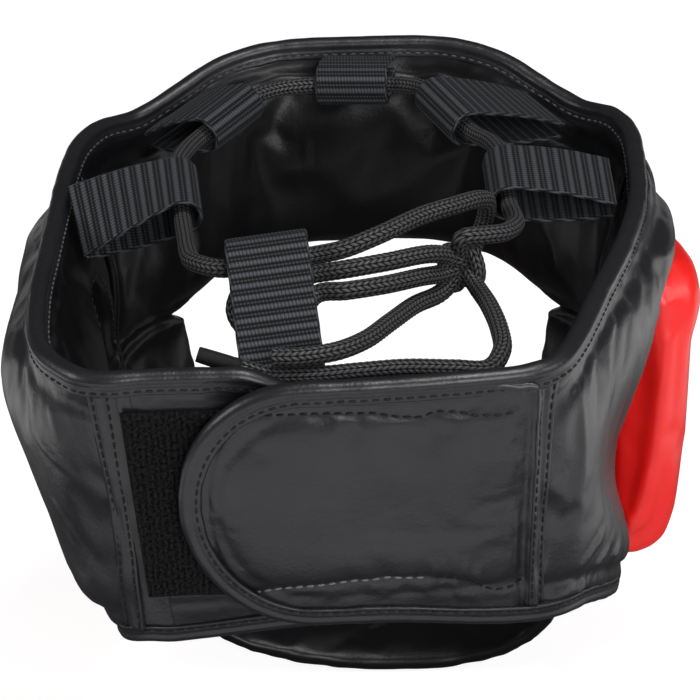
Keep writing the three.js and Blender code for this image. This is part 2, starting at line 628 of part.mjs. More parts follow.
const rimWalls = ["forehead_pad", "side_pad_left", "side_pad_right"].map((name) => wall(WALLS[name], GAP));
const rimRoom = [...rimWalls, tabRoom, bindingRoom(rimFrames)];
LOOPS.forEach((loop) => addPiece(loop.name, cut(webLoop(loop), rimRoom), "webbing"));
addPiece("lace_ring", laceTube(LACE_RING), "lace");
addPiece("lace_bow", laceTube(LACE_BOW), "lace");
addPiece("lace_tail_short", laceTube(LACE_TAIL_SHORT), "lace");
addPiece("lace_tail_long", laceTube(LACE_TAIL_LONG), "lace");
addPiece("lace_knot", knotGeometry(), "lace");
addPiece("lace_tip", tipGeometry(), "tip");

export default headgear;
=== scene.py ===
"""Dressed scene of a padded leather sparring headgear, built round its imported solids.

Tables are in millimetres, in the part's own frame: +Z up, the face along -Y, the wearer's left +X.
"""

import logging
import math
from dataclasses import dataclass, field
from enum import Enum
from typing import Callable, Sequence

import bmesh
import bpy
import numpy as np
from mathutils import Matrix, Vector, noise
from mathutils.bvhtree import BVHTree


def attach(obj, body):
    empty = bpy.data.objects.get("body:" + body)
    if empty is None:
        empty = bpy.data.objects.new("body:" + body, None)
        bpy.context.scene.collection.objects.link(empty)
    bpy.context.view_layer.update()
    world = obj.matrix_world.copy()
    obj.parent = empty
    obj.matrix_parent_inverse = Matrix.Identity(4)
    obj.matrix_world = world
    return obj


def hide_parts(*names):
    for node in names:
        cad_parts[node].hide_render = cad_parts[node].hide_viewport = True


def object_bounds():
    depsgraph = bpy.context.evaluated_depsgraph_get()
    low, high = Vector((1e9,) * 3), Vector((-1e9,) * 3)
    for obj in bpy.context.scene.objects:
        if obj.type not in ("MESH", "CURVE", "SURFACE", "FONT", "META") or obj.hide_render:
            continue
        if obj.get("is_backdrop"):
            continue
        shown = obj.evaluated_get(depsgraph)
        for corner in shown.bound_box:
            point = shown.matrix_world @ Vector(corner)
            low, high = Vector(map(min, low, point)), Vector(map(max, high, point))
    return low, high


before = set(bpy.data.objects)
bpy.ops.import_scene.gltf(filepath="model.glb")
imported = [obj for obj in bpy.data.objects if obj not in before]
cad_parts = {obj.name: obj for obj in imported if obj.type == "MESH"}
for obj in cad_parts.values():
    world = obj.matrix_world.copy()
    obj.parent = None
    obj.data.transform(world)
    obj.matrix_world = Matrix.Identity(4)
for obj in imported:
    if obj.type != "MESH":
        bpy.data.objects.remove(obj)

LOG = logging.getLogger("headgear")
MM = 0.001
BODY = "root"
IMAGE_PIXELS = 700
MERGE = 1e-7
YARN = "yarn"

Grid = Callable[[np.ndarray, np.ndarray], np.ndarray]
YarnGrid = Callable[[np.ndarray, np.ndarray], tuple[np.ndarray, np.ndarray]]
Form = Callable[[np.ndarray, np.ndarray], np.ndarray]


class Edge(Enum):
    """The two long edges of a padded wall."""

    UPPER = 0
    LOWER = 3


class Side(Enum):
    """The faces of a wall or of a folded binding, as signs along the outward direction."""

    OUT = 1.0
    IN = -1.0


# Small helpers for colours, nodes and meshes.
def linear(colour: str) -> tuple[float, float, float, float]:
    """Turns an sRGB hex colour into linear values.

    Args:
        colour: Six hex digits after a hash.

    Returns:
        Red, green, blue and an alpha of one.
    """
    parts = [int(colour[i : i + 2], 16) / 255 for i in (1, 3, 5)]
    r, g, b = (c / 12.92 if c <= 0.04045 else ((c + 0.055) / 1.055) ** 2.4 for c in parts)
    return r, g, b, 1.0


def add_node(
    tree: bpy.types.NodeTree, kind: str, inputs: dict | None = None, **settings: object
) -> bpy.types.Node:
    """Adds a node with its settings, values and links.

    Args:
        tree: The material's node tree.
        kind: The node's type name.
        inputs: Socket names or numbers, each with a value or the socket that feeds it.
        **settings: The node's own properties.

    Returns:
        The new node.
    """
    node = tree.nodes.new(kind)
    for name, value in settings.items():
        setattr(node, name, value)
    for name, value in (inputs or {}).items():
        if isinstance(value, bpy.types.NodeSocket):
            tree.links.new(value, node.inputs[name])
        else:
            node.inputs[name].default_value = value
    return node


def new_surface(name: str) -> tuple[bpy.types.Material, bpy.types.NodeTree, bpy.types.Node]:
    """Makes a material with one principled shader.

    Args:
        name: The material's name.

    Returns:
        The material, its node tree and the shader.
    """
    material = bpy.data.materials.new(name)
    material.use_nodes = True
    tree = material.node_tree
    return material, tree, tree.nodes["Principled BSDF"]


def new_piece(name: str, bm: bmesh.types.BMesh, material: bpy.types.Material) -> bpy.types.Object:
    """Makes a smooth-shaded object from a bmesh that is in metres.

    Args:
        name: The object's name.
        bm: The finished bmesh, which is freed.
        material: The finish.

    Returns:
        The object, linked to the scene.
    """
    mesh = bpy.data.meshes.new(name)
    bm.to_mesh(mesh)
    bm.free()
    mesh.shade_smooth()
    mesh.materials.append(material)
    piece = bpy.data.objects.new(name, mesh)
    bpy.context.scene.collection.objects.link(piece)
    return piece


def seat(piece: bpy.types.Object, slot: str, *nodes: str) -> bpy.types.Object:
    """Rides a piece on the body and hides the solids that it stands for.

    Args:
        piece: The finished piece.
        slot: The record's material slot; not used.
        *nodes: The solids that it replaces.

    Returns:
        The same piece.
    """
    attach(piece, BODY)
    if nodes:
        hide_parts(*nodes)
    LOG.info("%s: %d faces", piece.name, len(piece.data.polygons))
    return piece


def rounded(piece: bpy.types.Object) -> None:
    """Rounds a piece off by one subdivision."""
    smoothing = piece.modifiers.new("round", "SUBSURF")
    smoothing.levels = smoothing.render_levels = 1


def tree_of(piece: bpy.types.Object) -> BVHTree:
    """Makes a search tree of a piece's faces."""
    mesh = piece.data
    return BVHTree.FromPolygons([v.co[:] for v in mesh.vertices], [f.vertices[:] for f in mesh.polygons])


def stamp(piece: bpy.types.Object, height: float) -> None:
    """Keeps one height of the yarn on every point of a textile piece."""
    layer = piece.data.attributes.new(YARN, "FLOAT", "POINT")
    layer.data.foreach_set("value", np.full(len(piece.data.vertices), height, np.float32))


def turned(*axes: np.ndarray) -> Matrix:
    """Gives the turn that brings X, Y and Z to three directions."""
    return Matrix([[*row, 0] for row in np.stack(axes, axis=1)] + [[0, 0, 0, 1]])


def around(u: np.ndarray, across: np.ndarray, over: np.ndarray) -> np.ndarray:
    """Gives the way out of a round section at a share of its turn."""
    turn = 2 * math.pi * u
    return np.cos(turn)[:, None] * across + np.sin(turn)[:, None] * over


def closed(bm: bmesh.types.BMesh) -> bmesh.types.BMesh:
    """Joins a bent grid's long edges, fills its two ends and turns its faces out.

    Args:
        bm: The bent grid.

    Returns:
        The same bmesh.
    """
    bmesh.ops.remove_doubles(bm, verts=bm.verts, dist=MERGE)
    bmesh.ops.holes_fill(bm, edges=[e for e in bm.edges if e.is_boundary], sides=0)
    bmesh.ops.recalc_face_normals(bm, faces=bm.faces)
    return bm


def skirted(bm: bmesh.types.BMesh, way: Vector) -> bmesh.types.BMesh:
    """Turns the open edges of a sheet down on what it lies on.

    Args:
        bm: The open sheet.
        way: How far the edges go down, in metres.

    Returns:
        The same bmesh.
    """
    made = bmesh.ops.extrude_edge_only(bm, edges=[e for e in bm.edges if e.is_boundary])["geom"]
    bmesh.ops.translate(bm, verts=[g for g in made if isinstance(g, bmesh.types.BMVert)], vec=way)
    bmesh.ops.recalc_face_normals(bm, faces=bm.faces)
    return bm


def formed_grid(across: int, along: int, place: Grid, close: bool = True) -> bmesh.types.BMesh:
    """Bends a flat grid into a tube, a strip or a sheet.

    Args:
        across: Faces round or across the section.
        along: Faces along the length.
        place: Gives millimetre points from shares across and along.
        close: Joins the two long edges and fills the ends.

    Returns:
        A bmesh in metres with a UV map of the two shares.
    """
    bm = bmesh.new()
    bmesh.ops.create_grid(bm, x_segments=across, y_segments=along, size=0.5)
    layer = bm.loops.layers.uv.new("UVMap")
    for face in bm.faces:
        for loop in face.loops:
            loop[layer].uv = loop.vert.co.xy + Vector((0.5, 0.5))
    flat = np.array([v.co for v in bm.verts]) + 0.5
    for vert, point in zip(bm.verts, place(flat[:, 0], flat[:, 1]) * MM):
        vert.co = point
    if close:
        return closed(bm)
    bmesh.ops.recalc_face_normals(bm, faces=bm.faces)
    return bm


def woven_grid(across: int, along: int, place: YarnGrid) -> bmesh.types.BMesh:
    """Bends a flat grid into an open sheet that keeps the height of its yarn on each point.

    Args:
        across: Faces round or across the section.
        along: Faces along the length.
        place: Gives millimetre points and yarn heights from shares across and along.

    Returns:
        A bmesh in metres with a UV map and the yarn's height.
    """
    heights: list[np.ndarray] = []

    def points(u: np.ndarray, v: np.ndarray) -> np.ndarray:
        """Gives the points, and notes the heights.

        Args:
            u: Shares across.
            v: Shares along.

        Returns:
            The points.
        """
        at, height = place(u, v)
        heights.append(height)
        return at

    bm = formed_grid(across, along, points, close=False)
    layer = bm.verts.layers.float.new(YARN)
    for vert, height in zip(bm.verts, heights[0]):
        vert[layer] = height
    return bm


def unit(vectors: np.ndarray) -> np.ndarray:
    """Scales each row to a length of one."""
    return vectors / np.maximum(np.linalg.norm(vectors, axis=-1, keepdims=True), 1e-9)


def spline(points: Sequence[Sequence[float]], t: np.ndarray, centripetal: bool = False) -> np.ndarray:
    """Follows a Catmull-Rom curve through points.

    Args:
        points: The points that it passes through.
        t: Shares of the way from the first point to the last.
        centripetal: Spaces the knots by the root of the distance.

    Returns:
        One point for each share.
    """
    p = np.asarray(points, float)
    p = np.vstack([2 * p[0] - p[1], p, 2 * p[-1] - p[-2]])
    place = np.clip(t, 0, 1) * (len(p) - 3)
    k = np.minimum(place.astype(int), len(p) - 4)
    w = (place - k)[:, None]
    a, b, c, d = (p[k + i] for i in range(4))
    if centripetal:
        ab, bc, cd = (np.sqrt(np.linalg.norm(v, axis=1))[:, None] for v in (b - a, c - b, d - c))
        m = ((b - a) / ab - (c - a) / (ab + bc) + (c - b) / bc) * bc
        n = ((c - b) / bc - (d - b) / (bc + cd) + (d - c) / cd) * bc
    else:
        m, n = 0.5 * (c - a), 0.5 * (d - b)
    return b + m * w + (3 * (c - b) - 2 * m - n) * w**2 + (2 * (b - c) + m + n) * w**3


def run_of(points: np.ndarray) -> np.ndarray:
    """Gives the distance along a line of points, from its first."""
    return np.concatenate([[0], np.cumsum(np.linalg.norm(np.diff(points, axis=0), axis=1))])


def respaced(run: np.ndarray, rows: np.ndarray, step: float) -> np.ndarray:
    """Respaces rows of values evenly along a run.

    Args:
        run: The distance of each row.
        rows: The values.
        step: The wanted spacing.

    Returns:
        The respaced rows, ends included.
    """
    even = np.linspace(0, run[-1], max(2, round(run[-1] / step)) + 1)
    return np.stack([np.interp(even, run, column) for column in rows.T], axis=1)


def even_line(points: Sequence[Sequence[float]], step: float) -> np.ndarray:
    """Gives a line through points at an even spacing."""
    line = np.asarray(points, float)
    return respaced(run_of(line), line, step)


def softened(rows: np.ndarray, reach: int) -> np.ndarray:
    """Averages each row with its neighbours, with the ends held.

    Args:
        rows: The rows of values.
        reach: Neighbours on each side that count.

    Returns:
        The averaged rows.
    """
    padded = np.vstack([np.repeat(rows[:1], reach, 0), rows, np.repeat(rows[-1:], reach, 0)])
    window = np.hanning(2 * reach + 3)[1:-1]
    window /= window.sum()
    return np.stack([np.convolve(column, window, "valid") for column in padded.T], axis=1)


def ripple(points: np.ndarray, size: Sequence[float], seed: float) -> np.ndarray:
    """Gives smooth noise from minus one to one.

    Args:
        points: Places in millimetres.
        size: Size of a ripple along X, Y and Z.
        seed: Moves the pattern.

    Returns:
        One value for each point.
    """
    scaled = points / np.asarray(size, float) + seed
    return np.array([noise.noise(Vector(p)) for p in scaled])


# Finishes.
@dataclass(frozen=True)
class Leather:
    """Split leather with a moulded polyurethane face: satin, with fine grain and soft creases.

    The face gives a broad soft highlight, and the grain breaks it up where light grazes it.
    """

    name: str
    colour: str
    worn: str
    roughness: tuple[float, float]
    coat: float
    grain_mm: float = 0.9
    crease_mm: float = 9.0
    grain_strength: float = 0.16
    crease_strength: float = 0.22
    specular: float = 0.5
    cloud_mm: float = 45.0
    grain_depth_mm: float = 0.25
    crease_depth_mm: float = 1.2

    def material(self) -> bpy.types.Material:
        """Builds the leather's nodes.

        Returns:
            The material.
        """
        material, tree, shader = new_surface(self.name)
        at = add_node(tree, "ShaderNodeTexCoord").outputs["Object"]
        grain_scale, crease_scale, cloud_scale = (
            1 / (size * MM) for size in (self.grain_mm, self.crease_mm, self.cloud_mm)
        )
        cells = add_node(
            tree, "ShaderNodeTexVoronoi", {"Vector": at, "Scale": grain_scale}, feature="SMOOTH_F1"
        )
        folds = add_node(
            tree,
            "ShaderNodeTexNoise",
            {"Vector": at, "Scale": crease_scale, "Detail": 3.0, "Roughness": 0.5},
        )
        cloud = add_node(tree, "ShaderNodeTexNoise", {"Vector": at, "Scale": cloud_scale, "Detail": 4.0})
        tint = add_node(tree, "ShaderNodeValToRGB", {"Fac": cloud.outputs["Fac"]})
        tint.color_ramp.elements[0].position = 0.35
        tint.color_ramp.elements[0].color = linear(self.colour)
        tint.color_ramp.elements[1].position = 0.75
        tint.color_ramp.elements[1].color = linear(self.worn)
        gloss = add_node(
            tree,
            "ShaderNodeMapRange",
            {"Value": folds.outputs["Fac"], "To Min": self.roughness[0], "To Max": self.roughness[1]},
        )
        crease = add_node(
            tree,
            "ShaderNodeBump",
            {
                "Height": folds.outputs["Fac"],
                "Strength": self.crease_strength,
                "Distance": self.crease_depth_mm * MM,
            },
        )
        grain = add_node(
            tree,
            "ShaderNodeBump",
            {
                "Height": cells.outputs["Distance"],
                "Strength": self.grain_strength,
                "Distance": self.grain_depth_mm * MM,
                "Normal": crease.outputs["Normal"],
            },
        )
        tree.links.new(tint.outputs["Color"], shader.inputs["Base Color"])
        tree.links.new(gloss.outputs["Result"], shader.inputs["Roughness"])
        tree.links.new(grain.outputs["Normal"], shader.inputs["Normal"])
        shader.inputs["IOR"].default_value = 1.5
        shader.inputs["Specular IOR Level"].default_value = self.specular
        shader.inputs["Coat Weight"].default_value = self.coat
        shader.inputs["Coat Roughness"].default_value = 0.3
        return material


@dataclass(frozen=True)
class Textile:
    """Dyed synthetic yarn, woven, braided or looped: dull, with dark rough gaps between raised yarns.

    The height of the yarn is kept on the mesh, and the colour runs down to a painted shade in the gaps, so
    the gaps stay dark from every side. On stitches and the tip, which keep one height, the darker colour is
    only a tone that the fibre noise mixes in.
    """

    name: str
    raised: str
    gap: str
    roughness: float
    sheen: float
    fibre_mm: float
    glint: float = 0.22
    fibre_depth_mm: float = 0.2
    fuzz_share: float = 0.2

    def material(self) -> bpy.types.Material:
        """Builds the yarn's nodes.

        Returns:
            The material.
        """
        material, tree, shader = new_surface(self.name)
        height = add_node(tree, "ShaderNodeAttribute", attribute_name=YARN).outputs["Fac"]
        at = add_node(tree, "ShaderNodeTexCoord").outputs["Object"]
        fuzz = add_node(
            tree, "ShaderNodeTexNoise", {"Vector": at, "Scale": 1 / (self.fibre_mm * MM), "Detail": 3.0}
        ).outputs["Fac"]
        mixed = add_node(
            tree, "ShaderNodeMath", {0: fuzz, 1: self.fuzz_share, 2: height}, operation="MULTIPLY_ADD"
        ).outputs["Value"]
        tint = add_node(tree, "ShaderNodeValToRGB", {"Fac": mixed})
        gloss = add_node(
            tree,
            "ShaderNodeMapRange",
            {"Value": mixed, "From Min": 0.5, "To Min": 1.0, "To Max": self.roughness},
        )
        tree.links.new(gloss.outputs["Result"], shader.inputs["Roughness"])
        # The ramp runs from the painted shade in the gaps, at low yarn heights, up to the raised yarn's own
        # colour.
        tint.color_ramp.elements[0].position = 0.5
        tint.color_ramp.elements[0].color = linear(self.gap)
        tint.color_ramp.elements[1].position = 1.0
        tint.color_ramp.elements[1].color = linear(self.raised)
        bump = add_node(
            tree, "ShaderNodeBump", {"Height": fuzz, "Strength": 0.35, "Distance": self.fibre_depth_mm * MM}
        )
        tree.links.new(tint.outputs["Color"], shader.inputs["Base Color"])
        tree.links.new(bump.outputs["Normal"], shader.inputs["Normal"])
        shader.inputs["Specular IOR Level"].default_value = self.glint
        shader.inputs["Sheen Weight"].default_value = self.sheen
        shader.inputs["Sheen Roughness"].default_value = 0.4
        return material


BLACK = Leather("Black PU leather, satin", "#121115", "#19181d", (0.35, 0.47), 0.08, grain_strength=0.26)
# The glossy lining on the faces that look at the head: its darker colour and low specular also stand in for
# the shade inside the shell, as painted shade.
SHADED_LINING = Leather(
    "Black PU leather lining, glossy", "#08080a", "#0d0d0f", (0.32, 0.42), 0.0,
    crease_strength=0.1, specular=0.26,
)
RED = Leather("Red PU leather, satin", "#d9120f", "#e01a14", (0.36, 0.46), 0.12, crease_strength=0.1)
# Each textile's second colour is painted shade in the gaps between its yarns; on the threads and the film it
# is a darker tone mixed in by noise.
WEBBING = Textile("Polypropylene webbing, ribbed weave", "#404348", "#08080a", 0.38, 0.0, 0.35, 0.35)
LACING = Textile("Polyester lace, herringbone braid", "#434345", "#020202", 0.4, 0.0, 0.3, 0.3)
PILE = Textile("Nylon loop pile, brushed", "#1b1b1d", "#050505", 0.95, 0.0, 0.4, 0.08)
THREAD = Textile("Bonded nylon thread, black", "#1d1d1f", "#080809", 0.4, 0.0, 0.3)
INNER_THREAD = Textile("Bonded nylon thread, dark grey", "#55555a", "#1a1a1c", 0.4, 0.0, 0.3)
PALE_THREAD = Textile("Bonded nylon thread, worn pale", "#77777a", "#2a2a2c", 0.5, 0.2, 0.3)
FILM = Textile("Wrapped acetate film, glossy", "#1c1c1e", "#0c0c0d", 0.3, 0.0, 1.5)


# Lines of the shell: each row is the rim point and the foot point of one section.
FOREHEAD_HALF = (
    (0, -136, 10.5, 0, -128, -66),
    (30, -135, 10, 29, -127, -67),
    (50, -128, 7, 47, -120, -70),
    (64, -118, 1.5, 60, -111, -74),
    (78, -107, -3.5, 72, -99, -76),
    (89, -93, -1, 82, -87, -76),
    (94, -76, 0, 88, -73, -76),
    (95, -62, 0, 90, -61, -76),
)
SIDE_LEFT = (
    (95, -61, 0, 85, -60, -156),
    (95, -45, 0, 85, -45, -150),
    (94, -20, 0, 83, -20, -140),
    (93, 8, 0, 80, 8, -127),
    (91.5, 40, 0, 74, 36, -112),
    (86, 73, 0, 70, 65, -102),
    (72.5, 91, 0, 65, 82.3, -95),
    (63.5, 94, 0, 58, 85.3, -92),
)
SIDE_RIGHT = (
    (-57.3, 94.2, 0, -57.9, 86.5, -87),
    (-65.5, 88.8, 0, -66.5, 81, -88),
    (-72, 73, 0, -73, 65, -95.5),
    (-80, 42, 0, -81, 36, -112),
    (-88, 12, 0, -84, 8, -127),
    (-94, -20, 0, -85, -20, -140),
    (-95, -45, 0, -85, -45, -150),
    (-95, -61, 0, -85, -60, -156),
)
WING_LEFT = (
    (64, -103, -79, 54, -97, -158),
    (75, -96, -78, 65, -90, -161),
    (84, -83, -77, 74, -78, -161),
    (89, -71, -77, 80, -69, -159),
    (90, -62, -77, 85, -61, -157),
)


def mirrored(rows: Sequence[Sequence[float]]) -> tuple[tuple[float, ...], ...]:
    """Gives the other side's rows, in the order that keeps the outside out."""
    return tuple((-r[0], r[1], r[2], -r[3], r[4], r[5]) for r in reversed(rows))


@dataclass
class Frames:
    """Places along an edge, each with the way out of the wall and the way off the edge."""

    at: np.ndarray
    outward: np.ndarray
    up: np.ndarray

    def joined(self, *others: "Frames") -> "Frames":
        """Carries these frames on into others."""
        every = (self, *others)
        return Frames(*(np.vstack([getattr(f, name) for f in every]) for name in ("at", "outward", "up")))

    def even(self, step: float, reach: int) -> "Frames":
        """Respaces the frames and rounds off their corners.

        Args:
            step: Spacing in millimetres.
            reach: Neighbours on each side that a frame is averaged with.

        Returns:
            The even frames.
        """
        run = run_of(self.at)
        rows = (self.at, self.outward, self.up)
        at, outward, up = (softened(respaced(run, row, step), reach) for row in rows)
        return Frames(at, unit(outward), unit(up))

    def reversed(self) -> "Frames":
        """Gives the same frames from the far end."""
        return Frames(self.at[::-1], self.outward[::-1], self.up[::-1])

    def line(self, out: float, off: float) -> np.ndarray:
        """Gives the line a given way out of the wall and off the edge."""
        return self.at + out * self.outward + off * self.up


def wall_frames(rows: Sequence[Sequence[float]], edge: Edge, per_row: int = 12) -> Frames:
    """Gives the frames along a padded wall's rim or foot.

    Args:
        rows: The wall's sections.
        edge: Which edge.
        per_row: Frames for each row.

    Returns:
        The frames, in the order of the rows.
    """
    table = np.asarray(rows, float)
    t = np.linspace(0, 1, (len(rows) - 1) * per_row + 1)
    top, foot = spline(table[:, :3], t), spline(table[:, 3:], t)
    along = unit(unit(np.gradient(top, axis=0)) + unit(np.gradient(foot, axis=0)))
    down = unit(foot - top)
    outward = unit(np.cross(down, along))
    return Frames(top, outward, -down) if edge is Edge.UPPER else Frames(foot, outward, down)


@dataclass
class Band:
    """A flat rear piece that follows a shallow arc and leans in towards the neck."""

    crest_x: float
    crest_y: float
    sag: float
    span: float
    lift: float = 0.0
    lift_span: float = 1.0
    lean: float = 0.09

    def line(self, x: np.ndarray) -> np.ndarray:
        """Gives the arc's Y at the top for each X."""
        lift = self.lift * (np.maximum(0, x - self.crest_x) / self.lift_span) ** 2
        return self.crest_y - self.sag * ((x - self.crest_x) / self.span) ** 2 + lift

    def outward(self, x: np.ndarray) -> np.ndarray:
        """Gives the way out of the band for each X."""
        slope = self.line(x + 0.5) - self.line(x - 0.5)
        return unit(np.stack([-slope, np.ones_like(x), np.zeros_like(x)], axis=-1))

    def place(self, x: np.ndarray, z: np.ndarray, out: np.ndarray | float) -> np.ndarray:
        """Gives points on the band, a given way out from its middle."""
        base = np.stack([x, self.line(x) + self.lean * z, z], axis=-1)
        return base + self.outward(x) * np.asarray(out, float)[..., None]

    def frames(self, x: np.ndarray, z: np.ndarray, off: np.ndarray) -> Frames:
        """Gives frames along an edge of the band.

        Args:
            x: The edge's X values.
            z: The edge's Z values.
            off: The way off the edge, in X and Z.

        Returns:
            The frames.
        """
        at = self.place(x, z, 0.0)
        up = unit(self.place(x + off[:, 0], z + off[:, 1], 0.0) - at)
        return Frames(at, self.outward(x), up)


FLAP_BAND = Band(25, 101.8, 8.5, 88)
TAB_BAND = Band(42, 92, 4, 67, 1.5, 18)
FLAP_SEAM, FLAP_END, FLAP_RADIUS, FLAP_FOOT = -55.9, 43.0, 36.0, -82.0
TAB_SEAM, TAB_SEAM_FOOT, TAB_FOOT, TAB_BOUND = 62.0, 56.5, -89.5, 2.0


def smooth(share: np.ndarray) -> np.ndarray:
    """Eases a share from 0 to 1, clipped at both ends."""
    share = np.clip(share, 0, 1)
    return share * share * (3 - 2 * share)


def flap_drop(x: np.ndarray) -> np.ndarray:
    """Gives how far the flap's foot runs down towards its seam."""
    return 4.6 * smooth((-8 - x) / 48)


def tab_drop(x: np.ndarray) -> np.ndarray:
    """Gives how far the tab's foot runs down towards its seam."""
    return 4.8 * smooth((x - 8) / 50)


def flap_outline(step: float = 1.5) -> tuple[np.ndarray, np.ndarray, np.ndarray]:
    """Gives the flap's bound edge, from the foot at the seam round the end to the top at the seam.

    Args:
        step: Rough spacing in millimetres.

    Returns:
        X values, Z values and the way off the edge.
    """
    centre, half = FLAP_END - FLAP_RADIUS, -FLAP_FOOT / 2
    straight = np.arange(FLAP_SEAM, centre, step)
    turn = np.linspace(-math.pi / 2, math.pi / 2, round(math.pi * half / step))
    x = np.concatenate([straight, centre + FLAP_RADIUS * np.cos(turn), straight[::-1]])
    flat, side = np.zeros_like(straight), np.ones_like(straight)
    z = np.concatenate([FLAP_FOOT - flap_drop(straight), -half + half * np.sin(turn), flat])
    off = np.stack(
        [
            np.concatenate([flat, np.cos(turn) / FLAP_RADIUS, flat]),
            np.concatenate([-side, np.sin(turn) / half, side]),
        ],
        axis=1,
    )
    return x, z, unit(off)


def tucked(x: np.ndarray) -> np.ndarray:
    """Gives how far the tab's top edge slips down behind the flap."""
    return 9.0 * smooth((26 - x) / 22)


def tab_frames(edge: Edge) -> Frames:
    """Gives the frames along the tab's bound edge, from the seam inwards.

    Args:
        edge: The top or the foot.

    Returns:
        The frames.
    """
    top = edge is Edge.UPPER
    x = np.linspace(TAB_SEAM if top else TAB_SEAM_FOOT, TAB_BOUND, 40)
    off = np.tile([0.0, 1.0 if top else -1.0], (len(x), 1))
    return TAB_BAND.frames(x, -tucked(x) if top else TAB_FOOT - tab_drop(x), off)


FOREHEAD = (*mirrored(FOREHEAD_HALF), *FOREHEAD_HALF[1:])
HEM_RIGHT = wall_frames(SIDE_RIGHT, Edge.LOWER).joined(wall_frames(mirrored(WING_LEFT), Edge.LOWER))
RIM = HEM_RIGHT.reversed().joined(
    FLAP_BAND.frames(*flap_outline()),
    wall_frames(SIDE_RIGHT, Edge.UPPER),
    wall_frames(FOREHEAD, Edge.UPPER),
    wall_frames(SIDE_LEFT, Edge.UPPER),
    tab_frames(Edge.UPPER),
)
HEM_LEFT = wall_frames(WING_LEFT, Edge.LOWER).joined(
    wall_frames(SIDE_LEFT, Edge.LOWER), tab_frames(Edge.LOWER)
)


# Surfaces that stitches and strips are laid on.
class Drape:
    """Finds where a line falls on finished pieces."""

    def __init__(self, *pieces: bpy.types.Object) -> None:
        """Takes the pieces that lines are laid on."""
        self.trees = [tree_of(piece) for piece in pieces]

    def lay(
        self, points: np.ndarray, inward: np.ndarray, reach: float = 20.0
    ) -> tuple[np.ndarray, np.ndarray]:
        """Moves points along the inward way until they meet a piece.

        Args:
            points: Points in millimetres.
            inward: The way to move each one.
            reach: How far outside the points the search starts.

        Returns:
            The points on the surface and the surface's way out. A point that meets nothing stays.
        """
        found, normals = points.copy(), -inward
        for i, (point, way) in enumerate(zip(points, inward)):
            start = Vector((point - way * reach) * MM)
            hits = [tree.ray_cast(start, Vector(way), 2 * reach * MM) for tree in self.trees]
            hits = [h for h in hits if h[0] is not None]
            if hits:
                nearest = min(hits, key=lambda h: h[3])
                found[i] = np.array(nearest[0]) / MM
                normals[i] = np.array(nearest[1])
        return found, normals


# Padded pieces.
@dataclass
class Mark:
    """A sewn line that pulls a pad in, or a fold that stands up from it."""

    points: Sequence[Sequence[float]]
    width: float
    height: float
    fold: bool = False
    flat: bool = False

    def lift(self, at: np.ndarray) -> np.ndarray:
        """Gives how far each point is raised by the mark.

        Args:
            at: The points in millimetres.

        Returns:
            One height for each point.
        """
        line = even_line(self.points, self.width / 3)
        if self.flat:
            at, line = at * [1, 0, 1], line * [1, 0, 1]
        lift = np.zeros(len(at))
        margin = 4 * self.width
        box = (at > line.min(0) - margin).all(1) & (at < line.max(0) + margin).all(1)
        if box.any():
            gaps = ((at[box][:, None] - line[None]) ** 2).sum(-1)
            d = gaps.min(1) / self.width**2
            lift[box] = self.height * np.exp(-d)
            if self.fold:
                share = (gaps.argmin(1) + 0.5) / len(line)
                lift[box] *= (1 - 1.2 * d) * np.sin(math.pi * share) ** 0.8
        return lift


# How the names of the solids start that leave a pad free, and that a pad is drawn up to.
LACED, BOUND = ("lace", "web"), ("rim", "hem", "cheek_pad", "loop")
# A neighbour within HOLD_FIRM holds a pad firmly, and one HOLD_FADE further off leaves it free.
HOLD_SEARCH, HOLD_FIRM, HOLD_FADE = 6.0, 1.5, 3.0


